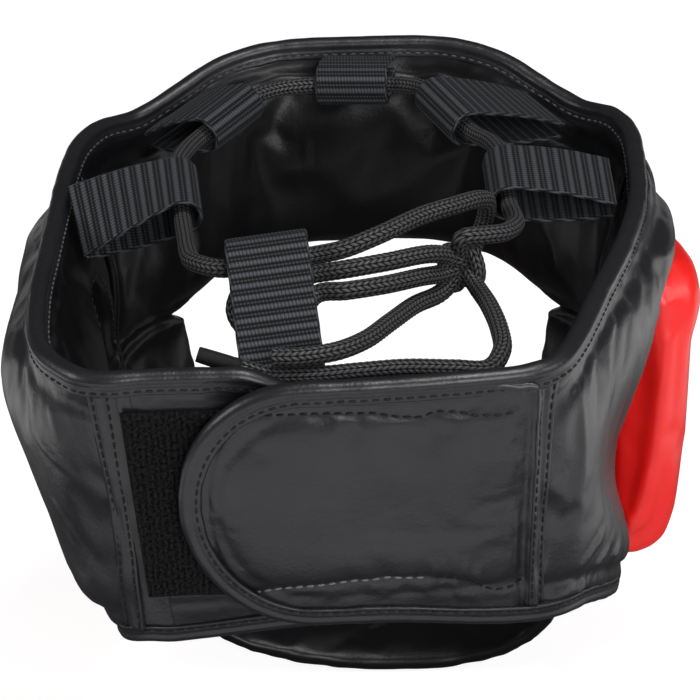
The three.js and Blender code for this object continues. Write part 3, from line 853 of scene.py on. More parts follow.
@dataclass
class Pad:
    """A foam pad under sewn leather, swelled by pressure from its solid and pulled in at its seams."""

    node: str
    finish: Leather
    slot: str
    fill: float = 0.7
    voxel: float = 3.2
    swell: float = 3.0
    slack: float = 0.018
    pressure: float = 4.0
    frames: int = 16
    wrinkle: float = 0.35
    wrinkle_size: tuple[float, float, float] = (16.0, 16.0, 40.0)
    shrink: float = 2.4
    meet: float = 1.2
    firmness: float = 2.0
    press: Form | None = None
    marks: list[Mark] = field(default_factory=list)
    seed: float = 0.0
    lined: bool = True

    def build(self, finishes: dict[Leather, bpy.types.Material]) -> bpy.types.Object:
        """Makes the pad.

        Args:
            finishes: The materials, by finish.

        Returns:
            The finished piece.
        """
        bm = bmesh.new()
        bm.from_mesh(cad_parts[self.node].data)
        bmesh.ops.remove_doubles(bm, verts=bm.verts, dist=2e-5)
        piece = new_piece(f"dressed_{self.node}", bm, finishes[self.finish])
        self.remeshed(piece)
        if self.press:
            at, out = self.skin(piece)
            self.moved(piece, at + self.press(at, out))
        held = self.held(piece, LACED)
        at, out = self.skin(piece)
        self.moved(piece, at - out * (self.shrink * (1 - held))[:, None])
        self.swelled(piece, held)
        at, out = self.skin(piece)
        self.moved(piece, at + out * (self.meet * self.held(piece, (*LACED, *BOUND)))[:, None])
        rounded(piece)
        self.baked(piece)
        self.sculpted(piece)
        if self.lined:
            self.lining(piece, finishes[SHADED_LINING])
        piece.data.shade_smooth()
        return seat(piece, self.slot, self.node)

    @staticmethod
    def baked(piece: bpy.types.Object) -> None:
        """Applies a piece's modifiers to its mesh.

        Args:
            piece: The piece.
        """
        graph = bpy.context.evaluated_depsgraph_get()
        mesh = bpy.data.meshes.new_from_object(piece.evaluated_get(graph))
        old = piece.data
        piece.modifiers.clear()
        piece.data = mesh
        bpy.data.meshes.remove(old)

    @staticmethod
    def skin(piece: bpy.types.Object) -> tuple[np.ndarray, np.ndarray]:
        """Reads a piece's skin.

        Args:
            piece: The piece.

        Returns:
            Its points in millimetres, and the way out at each.
        """
        count = len(piece.data.vertices)
        at, out = np.empty(count * 3, np.float32), np.empty(count * 3, np.float32)
        piece.data.vertices.foreach_get("co", at)
        piece.data.vertex_normals.foreach_get("vector", out)
        return at.reshape(-1, 3).astype(float) / MM, out.reshape(-1, 3).astype(float)

    @staticmethod
    def moved(piece: bpy.types.Object, at: np.ndarray) -> None:
        """Moves the points of a piece to new places in millimetres."""
        piece.data.vertices.foreach_set("co", (at * MM).astype(np.float32).ravel())
        piece.data.update()

    def remeshed(self, piece: bpy.types.Object) -> None:
        """Gives the pad an even skin.

        Args:
            piece: The pad.
        """
        skin = piece.modifiers.new("skin", "REMESH")
        skin.mode = "VOXEL"
        skin.voxel_size = self.voxel * MM
        self.baked(piece)
        bm = bmesh.new()
        bm.from_mesh(piece.data)
        for _ in range(4):
            bmesh.ops.smooth_vert(
                bm, verts=bm.verts, factor=0.5, use_axis_x=True, use_axis_y=True, use_axis_z=True
            )
        bm.to_mesh(piece.data)
        bm.free()

    def held(self, piece: bpy.types.Object, free_of: tuple[str, ...]) -> np.ndarray:
        """Gives how firmly each point is held by the solids beside it.

        Args:
            piece: The pad.
            free_of: How the names of the solids that don't hold it start.

        Returns:
            From 1 where a neighbour touches a point to 0 where it is free.
        """
        trees = [
            tree_of(solid)
            for name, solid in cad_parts.items()
            if name != self.node and not name.startswith(free_of)
        ]
        near = np.full(len(piece.data.vertices), 1.0)
        for i, vert in enumerate(piece.data.vertices):
            gaps = [tree.find_nearest(vert.co, HOLD_SEARCH * MM)[3] for tree in trees]
            near[i] = min([g for g in gaps if g is not None], default=1.0)
        return np.clip((HOLD_FIRM + HOLD_FADE - near / MM) / HOLD_FADE, 0, 1)

    def swelled(self, piece: bpy.types.Object, held: np.ndarray) -> None:
        """Swells the skin with pressure and a little slack, held at its seams.

        Args:
            piece: The pad.
            held: How firmly each point is held, from 0 to 1.
        """
        group = piece.vertex_groups.new(name="held")
        for i, weight in enumerate(held):
            group.add([i], float(weight), "REPLACE")
        rest = np.array([v.co for v in piece.data.vertices])
        cloth = piece.modifiers.new("cloth", "CLOTH")
        cloth.settings.quality = 4
        cloth.settings.mass = 0.3
        cloth.settings.tension_stiffness = 20
        cloth.settings.compression_stiffness = 20
        cloth.settings.shear_stiffness = 8
        cloth.settings.bending_stiffness = self.firmness
        cloth.settings.use_pressure = True
        cloth.settings.uniform_pressure_force = self.pressure
        cloth.settings.shrink_min = -self.slack
        cloth.settings.vertex_group_mass = "held"
        cloth.settings.effector_weights.gravity = 0
        cloth.collision_settings.use_collision = False
        cloth.point_cache.frame_start = 1
        cloth.point_cache.frame_end = self.frames
        scene = bpy.context.scene
        for number in range(1, self.frames + 1):
            scene.frame_set(number)
        graph = bpy.context.evaluated_depsgraph_get()
        moved = np.array([v.co for v in piece.evaluated_get(graph).data.vertices])
        scene.frame_set(1)
        piece.modifiers.remove(cloth)
        step = moved - rest
        length = np.linalg.norm(step, axis=1, keepdims=True)
        limit = self.swell * MM * (1 - held)[:, None]
        step *= limit * np.tanh(length / np.maximum(limit, 1e-9)) / np.maximum(length, 1e-9)
        piece.data.vertices.foreach_set("co", (rest + step).astype(np.float32).ravel())
        piece.data.update()

    def sculpted(self, piece: bpy.types.Object) -> None:
        """Pulls the sewn lines in and raises the folds and small wrinkles.

        Args:
            piece: The pad.
        """
        at, out = self.skin(piece)
        lift = self.wrinkle * ripple(at, self.wrinkle_size, self.seed)
        lift += 0.4 * self.wrinkle * ripple(at, [s / 2.2 for s in self.wrinkle_size], self.seed + 7)
        for mark in self.marks:
            lift += mark.lift(at)
        self.moved(piece, at + out * lift[:, None])

    def lining(self, piece: bpy.types.Object, material: bpy.types.Material) -> None:
        """Gives the faces that look at the head the lining's finish, darker than the outside as painted
        shade inside the shell.

        Args:
            piece: The pad.
            material: The lining's material.
        """
        piece.data.materials.append(material)
        for face in piece.data.polygons:
            away = Vector((face.center.x, face.center.y + 20 * MM, 0))
            if face.normal.dot(away) < 0:
                face.material_index = 1


def hump(value: np.ndarray, middle: np.ndarray | float, above: float, below: float) -> np.ndarray:
    """Gives a bell from 0 to 1 with its own width above and below the middle."""
    gap = value - middle
    return np.exp(-((gap / np.where(gap > 0, above, below)) ** 2))


# Each form takes points in millimetres and the way out at each, and gives how far they move.
WALL_DIP, FRONT_DIP = 14.0, 4.0


def jaw_dip(at: np.ndarray, out: np.ndarray) -> np.ndarray:
    """Gives the share of the right side's dip between the ear and the jaw.

    Args:
        at: The points.
        out: The way out at each.

    Returns:
        From 0 to 1, less on the inner face than on the outer.
    """
    _, y, z = at.T
    return hump(z, -88 + 0.6 * y, 38, 23) * (0.35 + 0.65 * outer_share(out))


def outer_share(out: np.ndarray) -> np.ndarray:
    """Gives how far a point of the right side looks outwards, from 0 inside to 1 outside."""
    return np.clip(0.5 - 0.7 * out[:, 0], 0, 1)


def pressed_wall(at: np.ndarray, out: np.ndarray) -> np.ndarray:
    """Presses the right side in between the ear and the jaw, and swells it at the rim and the hem.

    Args:
        at: The points.
        out: The way out at each.

    Returns:
        How far each point moves.
    """
    _, y, z = at.T
    depth = (WALL_DIP + FRONT_DIP * smooth(-y / 40)) * np.clip((82 - y) / 62, 0, 1) ** 0.7
    full = 4.0 * hump(z, -16, 16, 16) * smooth((y + 61) / 8) * smooth((15 - y) / 45)
    full += 2.0 * hump(z, -134 + 0.5 * y, 12, 12) * smooth((y + 61) / 30)
    return np.outer(depth * jaw_dip(at, out) - full * outer_share(out), (1, 0, 0))


def swelled_wall(at: np.ndarray, out: np.ndarray) -> np.ndarray:
    """Swells the outer face of the left side below the rim and above the hem.

    Args:
        at: The points.
        out: The way out at each.

    Returns:
        How far each point moves.
    """
    _, y, z = at.T
    full = 6.0 * hump(z, -30, 26, 30) * smooth((y + 61) / 12) * smooth((75 - y) / 45)
    full += 3.5 * hump(z, -122 + 0.44 * y, 14, 14) * smooth((y + 61) / 30)
    return np.outer(full * np.clip(1.4 * out[:, 0], 0, 1), (1, 0, 0))


def raised_wing(at: np.ndarray, out: np.ndarray) -> np.ndarray:
    """Brings the top of a cheek wing up under the temple."""
    return np.outer(4.0 * smooth((at[:, 2] + 94) / 14) * smooth((at[:, 1] + 106) / 20), (0, 0, 1))


def pressed_wing(at: np.ndarray, out: np.ndarray) -> np.ndarray:
    """Raises the right wing as the left one, and brings its rear edge in to the pressed wall."""
    dip = (WALL_DIP + FRONT_DIP) * jaw_dip(at, out) * smooth((at[:, 1] + 88) / 27)
    return raised_wing(at, out) + np.outer(dip, (1, 0, 0))


def drawn_forehead(at: np.ndarray, out: np.ndarray) -> np.ndarray:
    """Brings the forehead's foot down to the wings."""
    x, _, z = at.T
    return np.outer(2.0 * smooth((-58 - z) / 16) * smooth((np.abs(x) - 48) / 14), (0, 0, -1))


def squared_cheek(at: np.ndarray, out: np.ndarray) -> np.ndarray:
    """Fills out a cheek pad's top outer corner, and its rear edge where it meets the wall.

    Args:
        at: The points.
        out: The way out at each.

    Returns:
        How far each point moves.
    """
    x, y, z = np.abs(at[:, 0]), at[:, 1], at[:, 2]
    top = 2.2 * smooth((z + 76) / 18) * smooth((x - 92) / 14)
    rear = smooth((y + 88) / 22) * (1 - smooth((x - 94) / 14)) * smooth((z + 148) / 14)
    return np.stack([(top - 7.0 * rear) * np.sign(at[:, 0]), 6.0 * rear, np.zeros_like(top)], axis=1)


def tucked_tab(at: np.ndarray, out: np.ndarray) -> np.ndarray:
    """Slips the tab's top edge down behind the flap, and runs its foot down to the seam.

    Args:
        at: The points.
        out: The way out at each.

    Returns:
        How far each point moves.
    """
    x, _, z = at.T
    down = tucked(x) * np.clip((z + 40) / 40, 0, 1) + tab_drop(x) * np.clip((-60 - z) / 28, 0, 1)
    return np.outer(down, (0, 0, -1))


def stretched_flap(at: np.ndarray, out: np.ndarray) -> np.ndarray:
    """Draws the flap's sewn end out to its slanted seam and its foot down to the hem.

    Args:
        at: The points.
        out: The way out at each.

    Returns:
        How far each point moves.
    """
    x, _, z = at.T
    share = np.clip((-30 - x) / 26, 0, 1)
    moved = np.outer(-share * (0.8 + 4.2 * np.clip((z + 82) / 82, 0, 1)), (1, -0.35, 0))
    corner = 2.6 * smooth((-44 - x) / 12) * smooth((z + 10) / 8)
    return moved - np.outer(corner + flap_drop(x) * np.clip((-45 - z) / 36, 0, 1), (0, 0.09, 1))


# Folded bindings.
@dataclass
class Binding:
    """A strip of leather folded over an edge, full and slightly puckered along its stitches."""

    name: str
    nodes: tuple[str, ...]
    frames: Frames
    step: float = 2.0
    reach: int = 3
    half: float = 3.1
    leg: float = 4.7
    crown: float = 2.6
    pucker: float = 0.3

    def section(self) -> np.ndarray:
        """Gives the section, from the outer leg over to the inner.

        Returns:
            Its points, out of the wall and off the edge.
        """
        turn = np.linspace(-0.35, math.pi + 0.35, 11)
        roll = np.stack([self.half * np.cos(turn), 0.1 + (self.crown - 0.1) * np.sin(turn)], axis=1)
        roll[:, 0] *= 1 - 0.06 * np.sin(np.clip(turn, 0, math.pi))
        band = np.array(
            [[2.9, -self.leg], [3.75, -4.5], [3.85, -4.0], [3.55, -3.1], [3.75, -2.3], [3.35, -1.55]]
        )
        band[:, 0] *= self.half / 3.8
        seat_line = np.array([[-1.0, -self.leg + 0.1], [1.0, -self.leg + 0.1]])
        return np.vstack([band, roll, band[::-1] * [-1, 1], seat_line])

    def build(self, material: bpy.types.Material) -> bpy.types.Object:
        """Makes the binding.

        Args:
            material: The leather.

        Returns:
            The binding.
        """
        frames = self.frames.even(self.step, self.reach)
        section = self.section()
        section = np.vstack([section, section[:1]])
        run = run_of(frames.at)
        spots = np.stack([run / 7.0, np.zeros_like(run), np.zeros_like(run)], axis=1)
        plump = 1 + self.pucker / self.half * ripple(spots, (1, 1, 1), len(run))

        def place(u: np.ndarray, v: np.ndarray) -> np.ndarray:
            """Sets the section on the frames.

            Args:
                u: Shares across.
                v: Shares along.

            Returns:
                The points.
            """
            i = np.rint(v * (len(run) - 1)).astype(int)
            j = np.rint(u * (len(section) - 1)).astype(int)
            out, off = section[j, 0] * plump[i], section[j, 1] * plump[i]
            return frames.at[i] + out[:, None] * frames.outward[i] + off[:, None] * frames.up[i]

        piece = new_piece(self.name, formed_grid(len(section) - 1, len(run) - 1, place), material)
        rounded(piece)
        return seat(piece, "black_leather", *self.nodes)

    def stitch_line(self, side: Side) -> tuple[np.ndarray, np.ndarray]:
        """Gives the line of stitches on one leg, and the way out of the leather there."""
        frames = self.frames.even(self.step, self.reach)
        return frames.line(side.value * (self.half - 0.2), -3.1), side.value * frames.outward


# Stitching.
@dataclass
class Stitching:
    """Rows of machine stitches, each stitch a short twisted thread sunk at both ends."""

    name: str
    length: float = 2.5
    pitch: float = 3.3
    thick: float = 0.8
    proud: float = 0.1
    rows: list[tuple[np.ndarray, np.ndarray]] = field(default_factory=list)

    def add(self, line: np.ndarray, out: np.ndarray) -> None:
        """Adds a row along a line, with the way out of the leather at each point."""
        self.rows.append((line, out))

    def build(self, material: bpy.types.Material) -> bpy.types.Object:
        """Makes all the rows as one piece.

        Args:
            material: The thread.

        Returns:
            The stitches.
        """
        bm = bmesh.new()
        bmesh.ops.create_uvsphere(bm, u_segments=6, v_segments=5, radius=1)
        stitch = bpy.data.meshes.new("stitch")
        bm.to_mesh(stitch)
        bm.clear()
        for line, out in self.rows:
            even = respaced(run_of(line), np.hstack([line, out]), self.pitch / 4)
            for i in range(2, len(even) - 2, 4):
                along = unit(even[i + 1, :3] - even[i - 1, :3])
                normal = unit(even[i, 3:] - along * np.dot(even[i, 3:], along))
                across = np.cross(normal, along)
                size = Matrix.Diagonal((self.length / 2 * MM, self.thick / 2 * MM, self.thick / 2 * MM, 1))
                spot = Matrix.Translation(Vector((even[i, :3] + normal * self.proud) * MM))
                placed = stitch.copy()
                placed.transform(spot @ turned(along, across, normal) @ size)
                bm.from_mesh(placed)
                bpy.data.meshes.remove(placed)
        bpy.data.meshes.remove(stitch)
        piece = new_piece(self.name, bm, material)
        stamp(piece, 0.7)
        return seat(piece, "lace")


# Webbing loops.
@dataclass
class WebLoop:
    """A strip of ribbed webbing folded round the lace, with both ends sewn in under the rim."""

    name: str
    root: Sequence[float]
    fold: Sequence[float]
    root_along: Sequence[float]
    fold_along: Sequence[float]
    bore: float
    start: float
    width: float = 25.0
    thick: float = 1.6
    rib: float = 3.8
    belly: float = 1.5
    yarn: float = 1.1
    lanes: int = 64

    def centre(self) -> np.ndarray:
        """Gives the strip's middle line, from one root round the fold to the other.

        Returns:
            Its points, as run and rise.
        """
        length = float(np.linalg.norm(np.subtract(self.fold, self.root)))
        radius = (self.bore + self.thick) / 2
        share = np.linspace(self.start, 1, 40)
        rise = 1.2 + (radius - 1.2) * share + self.belly * np.sin(math.pi * share)
        leg = np.stack([share * length, rise], axis=1)
        turn = np.linspace(math.pi / 2, -math.pi / 2, 24)[1:-1]
        bend = np.stack([length + radius * np.cos(turn), radius * np.sin(turn)], axis=1)
        line = np.vstack([leg, bend, leg[::-1] * [1, -1]])
        return softened(respaced(run_of(line), line, 0.45), 4)

    def build(self, material: bpy.types.Material) -> bpy.types.Object:
        """Makes the loop with its ribs and selvedges.

        Args:
            material: The webbing.

        Returns:
            The loop.
        """
        line = self.centre()
        run = run_of(line)
        way = unit(np.gradient(line, axis=0))
        inward = unit(np.subtract(self.fold, self.root).astype(float))
        length = float(np.linalg.norm(np.subtract(self.fold, self.root)))
        share = np.clip(line[:, :1] / length, 0, 1)
        root_along, fold_along = np.asarray(self.root_along, float), np.asarray(self.fold_along, float)
        along = root_along * (1 - share) + fold_along * share
        along = unit(along - inward * (along @ inward)[:, None])
        normal = np.cross(along, inward)
        shares = np.concatenate([np.linspace(-1, 1, self.lanes), np.linspace(1, -1, self.lanes), [-1]])
        faces = np.concatenate([np.ones(self.lanes), -np.ones(self.lanes), [1]])

        def place(u: np.ndarray, v: np.ndarray) -> tuple[np.ndarray, np.ndarray]:
            """Raises a broad and a narrow rib in turn, with a plain edge on both sides.

            Args:
                u: Shares across.
                v: Shares along.

            Returns:
                The points and the yarn's heights.
            """
            i = np.rint(v * (len(run) - 1)).astype(int)
            j = np.rint(u * (len(shares) - 1)).astype(int)
            s = shares[j]
            phase = (run[i] / self.rib) % 1
            broad = np.clip(np.sin(math.pi * np.clip(phase / 0.64, 0, 1)), 0, 1) ** 0.5
            narrow = 0.82 * np.clip(np.sin(math.pi * np.clip((phase - 0.68) / 0.3, 0, 1)), 0, 1) ** 0.6
            slant = s * self.width / 2 / self.yarn + 0.5 * run[i] / self.rib
            yarn = 0.5 + 0.5 * np.sin(2 * math.pi * slant)
            edge = np.clip((1 - np.abs(s)) / 0.07, 0, 1) ** 0.5
            height = np.maximum(broad, narrow) * (0.5 + 0.5 * yarn)
            # The shown heights darken the rib valleys and the selvedge's gaps in the webbing's colour, as
            # painted shade.
            shown = np.where(np.abs(s) > 0.94, 0.25 + 0.6 * yarn, height)
            rise = faces[j] * (self.thick / 2 - 0.3 + 0.42 * height) * (0.35 + 0.65 * edge)
            across = s * (self.width / 2) + 0.12 * np.where(np.abs(s) > 0.99, np.sign(s) * (yarn - 0.5), 0)
            at = np.asarray(self.root, float) + (line[i, :1] - way[i, 1:] * rise[:, None]) * inward
            at = at + (line[i, 1:] + way[i, :1] * rise[:, None]) * normal[i] + across[:, None] * along[i]
            return at, shown

        bm = closed(woven_grid(len(shares) - 1, len(run) - 1, place))
        piece = new_piece(f"dressed_{self.name}", bm, material)
        return seat(piece, "webbing", self.name)


LOOPS = (
    WebLoop("web_loop_front", (-1, -131, 5.5), (1, -107, 6.5), (1, 0, 0), (1, 0.05, 0), 10.5, 0.08),
    WebLoop(
        "web_loop_front_left",
        (69, -109, -8), (44, -87, 4), (0.7, 0.7, -0.2), (0.52, 0.84, -0.15), 10.5, 0.12,
    ),
    WebLoop(
        "web_loop_front_right",
        (-69, -109, -8), (-33, -83, 6), (-0.7, 0.7, -0.2), (-0.55, 0.8, -0.22), 10.5, 0.1,
    ),
    WebLoop(
        "web_loop_left", (90, -20, -4), (54, -24, 4), (0.2, 0.62, -0.76), (-0.3, 0.93, -0.18), 10.5, 0.06
    ),
    WebLoop(
        "web_loop_right", (-90, -32, -1), (-52, -28, 4), (0.02, 0.97, -0.22), (0.05, 0.98, -0.15), 10.5, 0.1
    ),
    WebLoop("web_loop_rear", (12, 89, -18), (19.5, 43, 12), (1, 0.05, 0), (1, 0, 0), 14, 0.06),
)


# The lace.
LACE_DIAMETER = 5.6
KNOT_DIAMETER = 5.2
KNOT_AT, KNOT_SIZE = (-38, 26, 1), (5.7, 4.9, 4.9)
# Distance along the tip and its radius there, with a crimp near the lace.
TIP_ROWS = ((0, 2.3), (0.6, 2.55), (2.4, 2.5), (2.9, 2.25), (3.4, 2.5), (12.2, 2.35), (12.8, 2.0), (13, 0.4))
LACE_RING = (
    (-38, 26.8, 4.5),
    (-38.5, 29.5, 11.8), (-45, 26.8, 11.5), (-51, 21.5, 9.7), (-54.5, 11, 7), (-54.5, -2, 3.5),
    (-53.1, -14.3, 1.6), (-52, -28, 4), (-50.9, -41.7, 6.4), (-47.5, -57, 5), (-40.5, -71.6, 3),
    (-33, -83, 6), (-25.5, -94.4, 9), (-20, -101.5, 8), (-13, -106.3, 6.6), (1, -107, 6.5),
    (15, -107.7, 6.5), (26.5, -105, 6.6), (35.6, -97.9, 6.6), (44, -87, 4), (52.4, -76.1, 1.4),
    (56, -57, 4), (56.2, -37.5, 7), (54, -24, 4), (51.8, -10.5, 1), (49, 6, 1.5),
    (46.5, 22, 5), (43, 36, 9), (33.4, 44.7, 10.9), (19.5, 43, 12), (5.6, 41.3, 13.1),
    (-3, 41.5, 15), (-13, 37, 17), (-26, 23.5, 17), (-36, 14.5, 16), (-43, 5, 13.5),
    (-46, -4, 8), (-45, -6, 1), (-42, 0, -4), (-39.5, 9, -5), (-38, 18.1, -3.6),
    (-38, 23.5, -0.5),
)
LACE_BOW = (
    (-37, 26.8, 3),
    (-33.3, 30.3, 6.7), (-28, 36, 10), (-15.5, 45, 12), (-4, 48, 11.5), (5.7, 46.8, 9.5), (21.5, 48.8, 8.3),
    (27.5, 51.6, 6.4), (29.2, 57.3, 2.7), (25.6, 62.3, -0.5), (19, 63.7, -1.4), (10.7, 58.9, 1.7),
    (4.7, 52.6, 5.7), (-4, 53.5, 7), (-15.5, 49, 6.5), (-25.5, 39.5, 4), (-31.2, 31.5, 1),
    (-36, 27.5, 0.6),
)
LACE_TAIL_SHORT = (
    (-36.5, 26.6, -1.5),
    (-31.8, 31, -5.4), (-24, 42, -4), (-17, 57, -2), (-10, 71, -0.5), (-2, 79.5, 0.5), (9, 83.4, 0.9),
    (16.5, 83.6, 1),
)
LACE_TAIL_LONG = (
    (-39.5, 27.5, 0),
    (-42.6, 33, -3), (-46.5, 46, -3), (-49.5, 60, -4), (-50, 71, -5), (-46, 79, -6.5), (-36, 81.5, -5),
    (-22, 81.5, -4.5), (-8, 82.3, -5), (2, 83, -5.5), (10, 83.4, -5.5), (18, 83.4, -5.2), (26, 82.6, -2.6),
)


def carried(line: np.ndarray) -> tuple[np.ndarray, np.ndarray]:
    """Carries two directions along a line without a twist.

    Args:
        line: The line's points.

    Returns:
        The two directions across each point.
    """
    way = unit(np.gradient(line, axis=0))
    across = np.empty_like(way)
    ahead = np.cross(way[0], (0.0, 0.0, 1.0) if abs(way[0][2]) < 0.9 else (1.0, 0.0, 0.0))
    for i, w in enumerate(way):
        ahead = unit(ahead - w * np.dot(ahead, w))
        across[i] = ahead
    return across, np.cross(way, across)


@dataclass
class Lace:
    """A stretch of round lace with a herringbone braid."""

    name: str
    route: np.ndarray
    diameter: float = LACE_DIAMETER
    columns: int = 6
    pitch: float = 1.9
    slant: float = 0.9
    relief: float = 0.3
    spacing: float = 0.38
    sides: int = 48

    def rings(self) -> tuple[np.ndarray, np.ndarray, np.ndarray]:
        """Gives the middle line and two directions across it that don't twist."""
        line = respaced(run_of(self.route), self.route, self.spacing)
        return line, *carried(line)

    def build(self, material: bpy.types.Material) -> bpy.types.Object:
        """Makes the tube with its braid raised on it.

        Args:
            material: The lace.

        Returns:
            The stretch.
        """
        line, across, over = self.rings()
        run = run_of(line)

        def place(u: np.ndarray, v: np.ndarray) -> tuple[np.ndarray, np.ndarray]:
            """Raises slanted strands that turn back in each column.

            Args:
                u: Shares across.
                v: Shares along.

            Returns:
                The points and the yarn's heights.
            """
            i = np.rint(v * (len(run) - 1)).astype(int)
            column = np.abs((u * self.columns) % 1 - 0.5) * 2
            strand = np.abs(np.sin(math.pi * (run[i] / self.pitch + self.slant * column)))
            height = strand**0.6 * np.clip(np.minimum(column, 1 - column) * 5 + 0.35, 0, 1)
            radius = self.diameter / 2 + self.relief * (height - 0.75)
            # The strand heights also darken the gaps between strands in the lace's colour, as painted shade.
            return line[i] + radius[:, None] * around(u, across[i], over[i]), height

        bm = closed(woven_grid(self.sides, len(run) - 1, place))
        return new_piece(self.name, bm, material)

    def length(self) -> float:
        """Gives the stretch's length in metres."""
        return float(run_of(self.route)[-1]) * MM


def routed(points: Sequence[Sequence[float]]) -> np.ndarray:
    """Gives a fine line along a lace's laid points."""
    return spline(points, np.linspace(0, 1, 40 * len(points)), centripetal=True)


class Lacing:
    """The whole lace: the ring through the loops, the bow, the two tails, the knot and the tip."""

    def build(self, lace: bpy.types.Material, film: bpy.types.Material) -> None:
        """Args:
            lace: The braid's finish.
            film: The tip's finish.
        """
        knot = seat(self.knot(lace), "lace", "lace_knot")
        tip = seat(self.tip(film), "tip", "lace_tip")
        for node, points, far_end, lay, on in (
            ("lace_ring", LACE_RING, "object", "taut", [knot]),
            ("lace_bow", LACE_BOW, "object", "loose", []),
            ("lace_tail_short", LACE_TAIL_SHORT, "bare", "loose", []),
            ("lace_tail_long", LACE_TAIL_LONG, "fitting", "loose", [tip]),
        ):
            stretch = Lace(f"dressed_{node}", routed(points))
            piece = seat(stretch.build(lace), "lace", node)
            line = stretch.rings()[0] * MM
            stretch.length()

    def knot(self, material: bpy.types.Material) -> bpy.types.Object:
        """Makes the slip knot as a tight turn of lace round itself.

        Args:
            material: The lace.

        Returns:
            The knot.
        """
        t = np.linspace(0.15, 2 * math.pi + 0.1, 240)
        loop_x, loop_y = np.sin(t) + 2 * np.sin(2 * t), np.cos(t) - 2 * np.cos(2 * t)
        curve = np.stack([loop_x, loop_y, -2.6 * np.sin(3 * t)], axis=1)
        size = np.asarray(KNOT_SIZE) / (3, 3, 2.6)
        turn = np.array([[0.9, 0.0, 0.44], [0.0, 1.0, 0.0], [-0.44, 0.0, 0.9]])
        route = (curve * size) @ turn.T + np.asarray(KNOT_AT, float)
        return Lace("dressed_lace_knot", route, diameter=KNOT_DIAMETER).build(material)

    def tip(self, material: bpy.types.Material) -> bpy.types.Object:
        """Makes the wrapped tip, crimped where it holds the lace.

        Args:
            material: The film.

        Returns:
            The tip.
        """
        end = np.asarray(LACE_TAIL_LONG[-1], float)
        way = unit(end - np.asarray(LACE_TAIL_LONG[-2], float))
        across = unit(np.cross(way, (0.0, 0.0, 1.0)))
        over = np.cross(way, across)

        def place(u: np.ndarray, v: np.ndarray) -> np.ndarray:
            """Turns the tip's rows about the lace."""
            run, radius = spline(TIP_ROWS, v).T
            return end + way * run[:, None] + radius[:, None] * around(u, across, over)

        piece = new_piece("dressed_lace_tip", formed_grid(24, 42, place), material)
        stamp(piece, 0.6)
        return piece


# The rear band.
@dataclass
class LoopPile:
    """The brushed loop-pile patch on the closing tab."""

    from_x: float = -14.0
    to_x: float = 61.0
    to_foot_x: float = 58.5
    top: float = -10.0
    foot: float = -77.0
    seat_out: float = 3.35
    thick: float = 1.8
    fuzz: float = 0.75
    skirt: float = 1.2
    columns: int = 190
    rows: int = 170

    def build(self, material: bpy.types.Material) -> bpy.types.Object:
        """Makes the patch as a field of small loops.

        Args:
            material: The pile.

        Returns:
            The patch.
        """

        def place(u: np.ndarray, v: np.ndarray) -> tuple[np.ndarray, np.ndarray]:
            """Raises loops in faint upright rows, lower along the border.

            Args:
                u: Shares across.
                v: Shares along.

            Returns:
                The points and the yarn's heights.
            """
            x = self.from_x + (self.to_x + (self.to_foot_x - self.to_x) * v - self.from_x) * u
            z = self.top + (self.foot - self.top) * v
            flat = np.stack([x, np.zeros_like(x), z], axis=1)
            ribs = 0.1 * np.cos(2 * math.pi * (x / 1.9 + 0.25 * ripple(flat, (4, 1, 6), 4)))
            loops = 0.62 + 0.5 * ripple(flat, (0.65, 1, 0.9), 3) + ribs
            border = np.clip(np.minimum.reduce([u, 1 - u, v, 1 - v]) * 40, 0, 1)
            out = self.seat_out + self.thick * (0.3 + 0.5 * border) + self.fuzz * (loops - 0.4) * border
            # The loops' heights darken the low spots of the pile's colour, as painted shade.
            return TAB_BAND.place(x, z, out), np.clip(loops, 0, 1)

        bm = skirted(woven_grid(self.columns, self.rows, place), Vector((0, -self.skirt * MM, 0)))
        return seat(new_piece("dressed_loop_pile", bm, material), "pile", "loop_pile")


@dataclass
class SeamStrip:
    """A strip of leather over a rear seam, flat under the rest or raised and sewn with two rows."""

    name: str
    near: Sequence[Sequence[float]]
    far: Sequence[Sequence[float]]
    out: tuple[float, float, float]
    thick: float
    sewn: bool = True
    lanes: int = 12
    rows: int = 64
    sewn_at: tuple[float, float] = (0.2, 0.82)

    def build(self, material: bpy.types.Material, drape: Drape, stitching: Stitching) -> bpy.types.Object:
        """Makes the strip and adds its two rows of stitches.

        Args:
            material: The leather.
            drape: The surfaces that the strip lies on.
            stitching: Takes the rows of stitches.

        Returns:
            The strip.
        """
        inward = -unit(np.asarray(self.out, float))
        share = np.linspace(0, 1, self.rows + 1)
        near, far = spline(self.near, share), spline(self.far, share)
        across = np.linspace(0, 1, self.lanes + 1)[None, :, None]
        base = near[:, None] * (1 - across) + far[:, None] * across
        flat = base.reshape(-1, 3)
        laid, _ = drape.lay(flat, np.tile(inward, (len(flat), 1)))
        depth = ((laid - flat) @ inward).reshape(self.rows + 1, self.lanes + 1)
        depth = np.minimum(depth, np.quantile(depth, 0.6) + 0.8)
        depth = softened(softened(depth, 5).T, 2).T
        lift = np.sin(np.linspace(0.1, math.pi - 0.1, self.lanes + 1)) ** 0.3
        if self.sewn:
            for row in self.sewn_at:
                lift -= 0.3 * np.exp(-(((np.linspace(0, 1, self.lanes + 1) - row) / 0.09) ** 2))
        surface = base + (depth[..., None] - (self.thick * lift)[None, :, None]) * inward

        def place(u: np.ndarray, v: np.ndarray) -> np.ndarray:
            """Looks up the laid surface."""
            return surface[np.rint(v * self.rows).astype(int), np.rint(u * self.lanes).astype(int)]

        bm = formed_grid(self.lanes, self.rows, place, close=False)
        skirted(bm, Vector(inward * (self.thick + 0.6) * MM))
        if self.sewn:
            for row in self.sewn_at:
                lane = row * self.lanes
                low = int(lane)
                line = surface[:, low] * (low + 1 - lane) + surface[:, low + 1] * (lane - low)
                stitching.add(line, np.tile(-inward, (self.rows + 1, 1)))
        return seat(new_piece(self.name, bm, material), "black_leather")


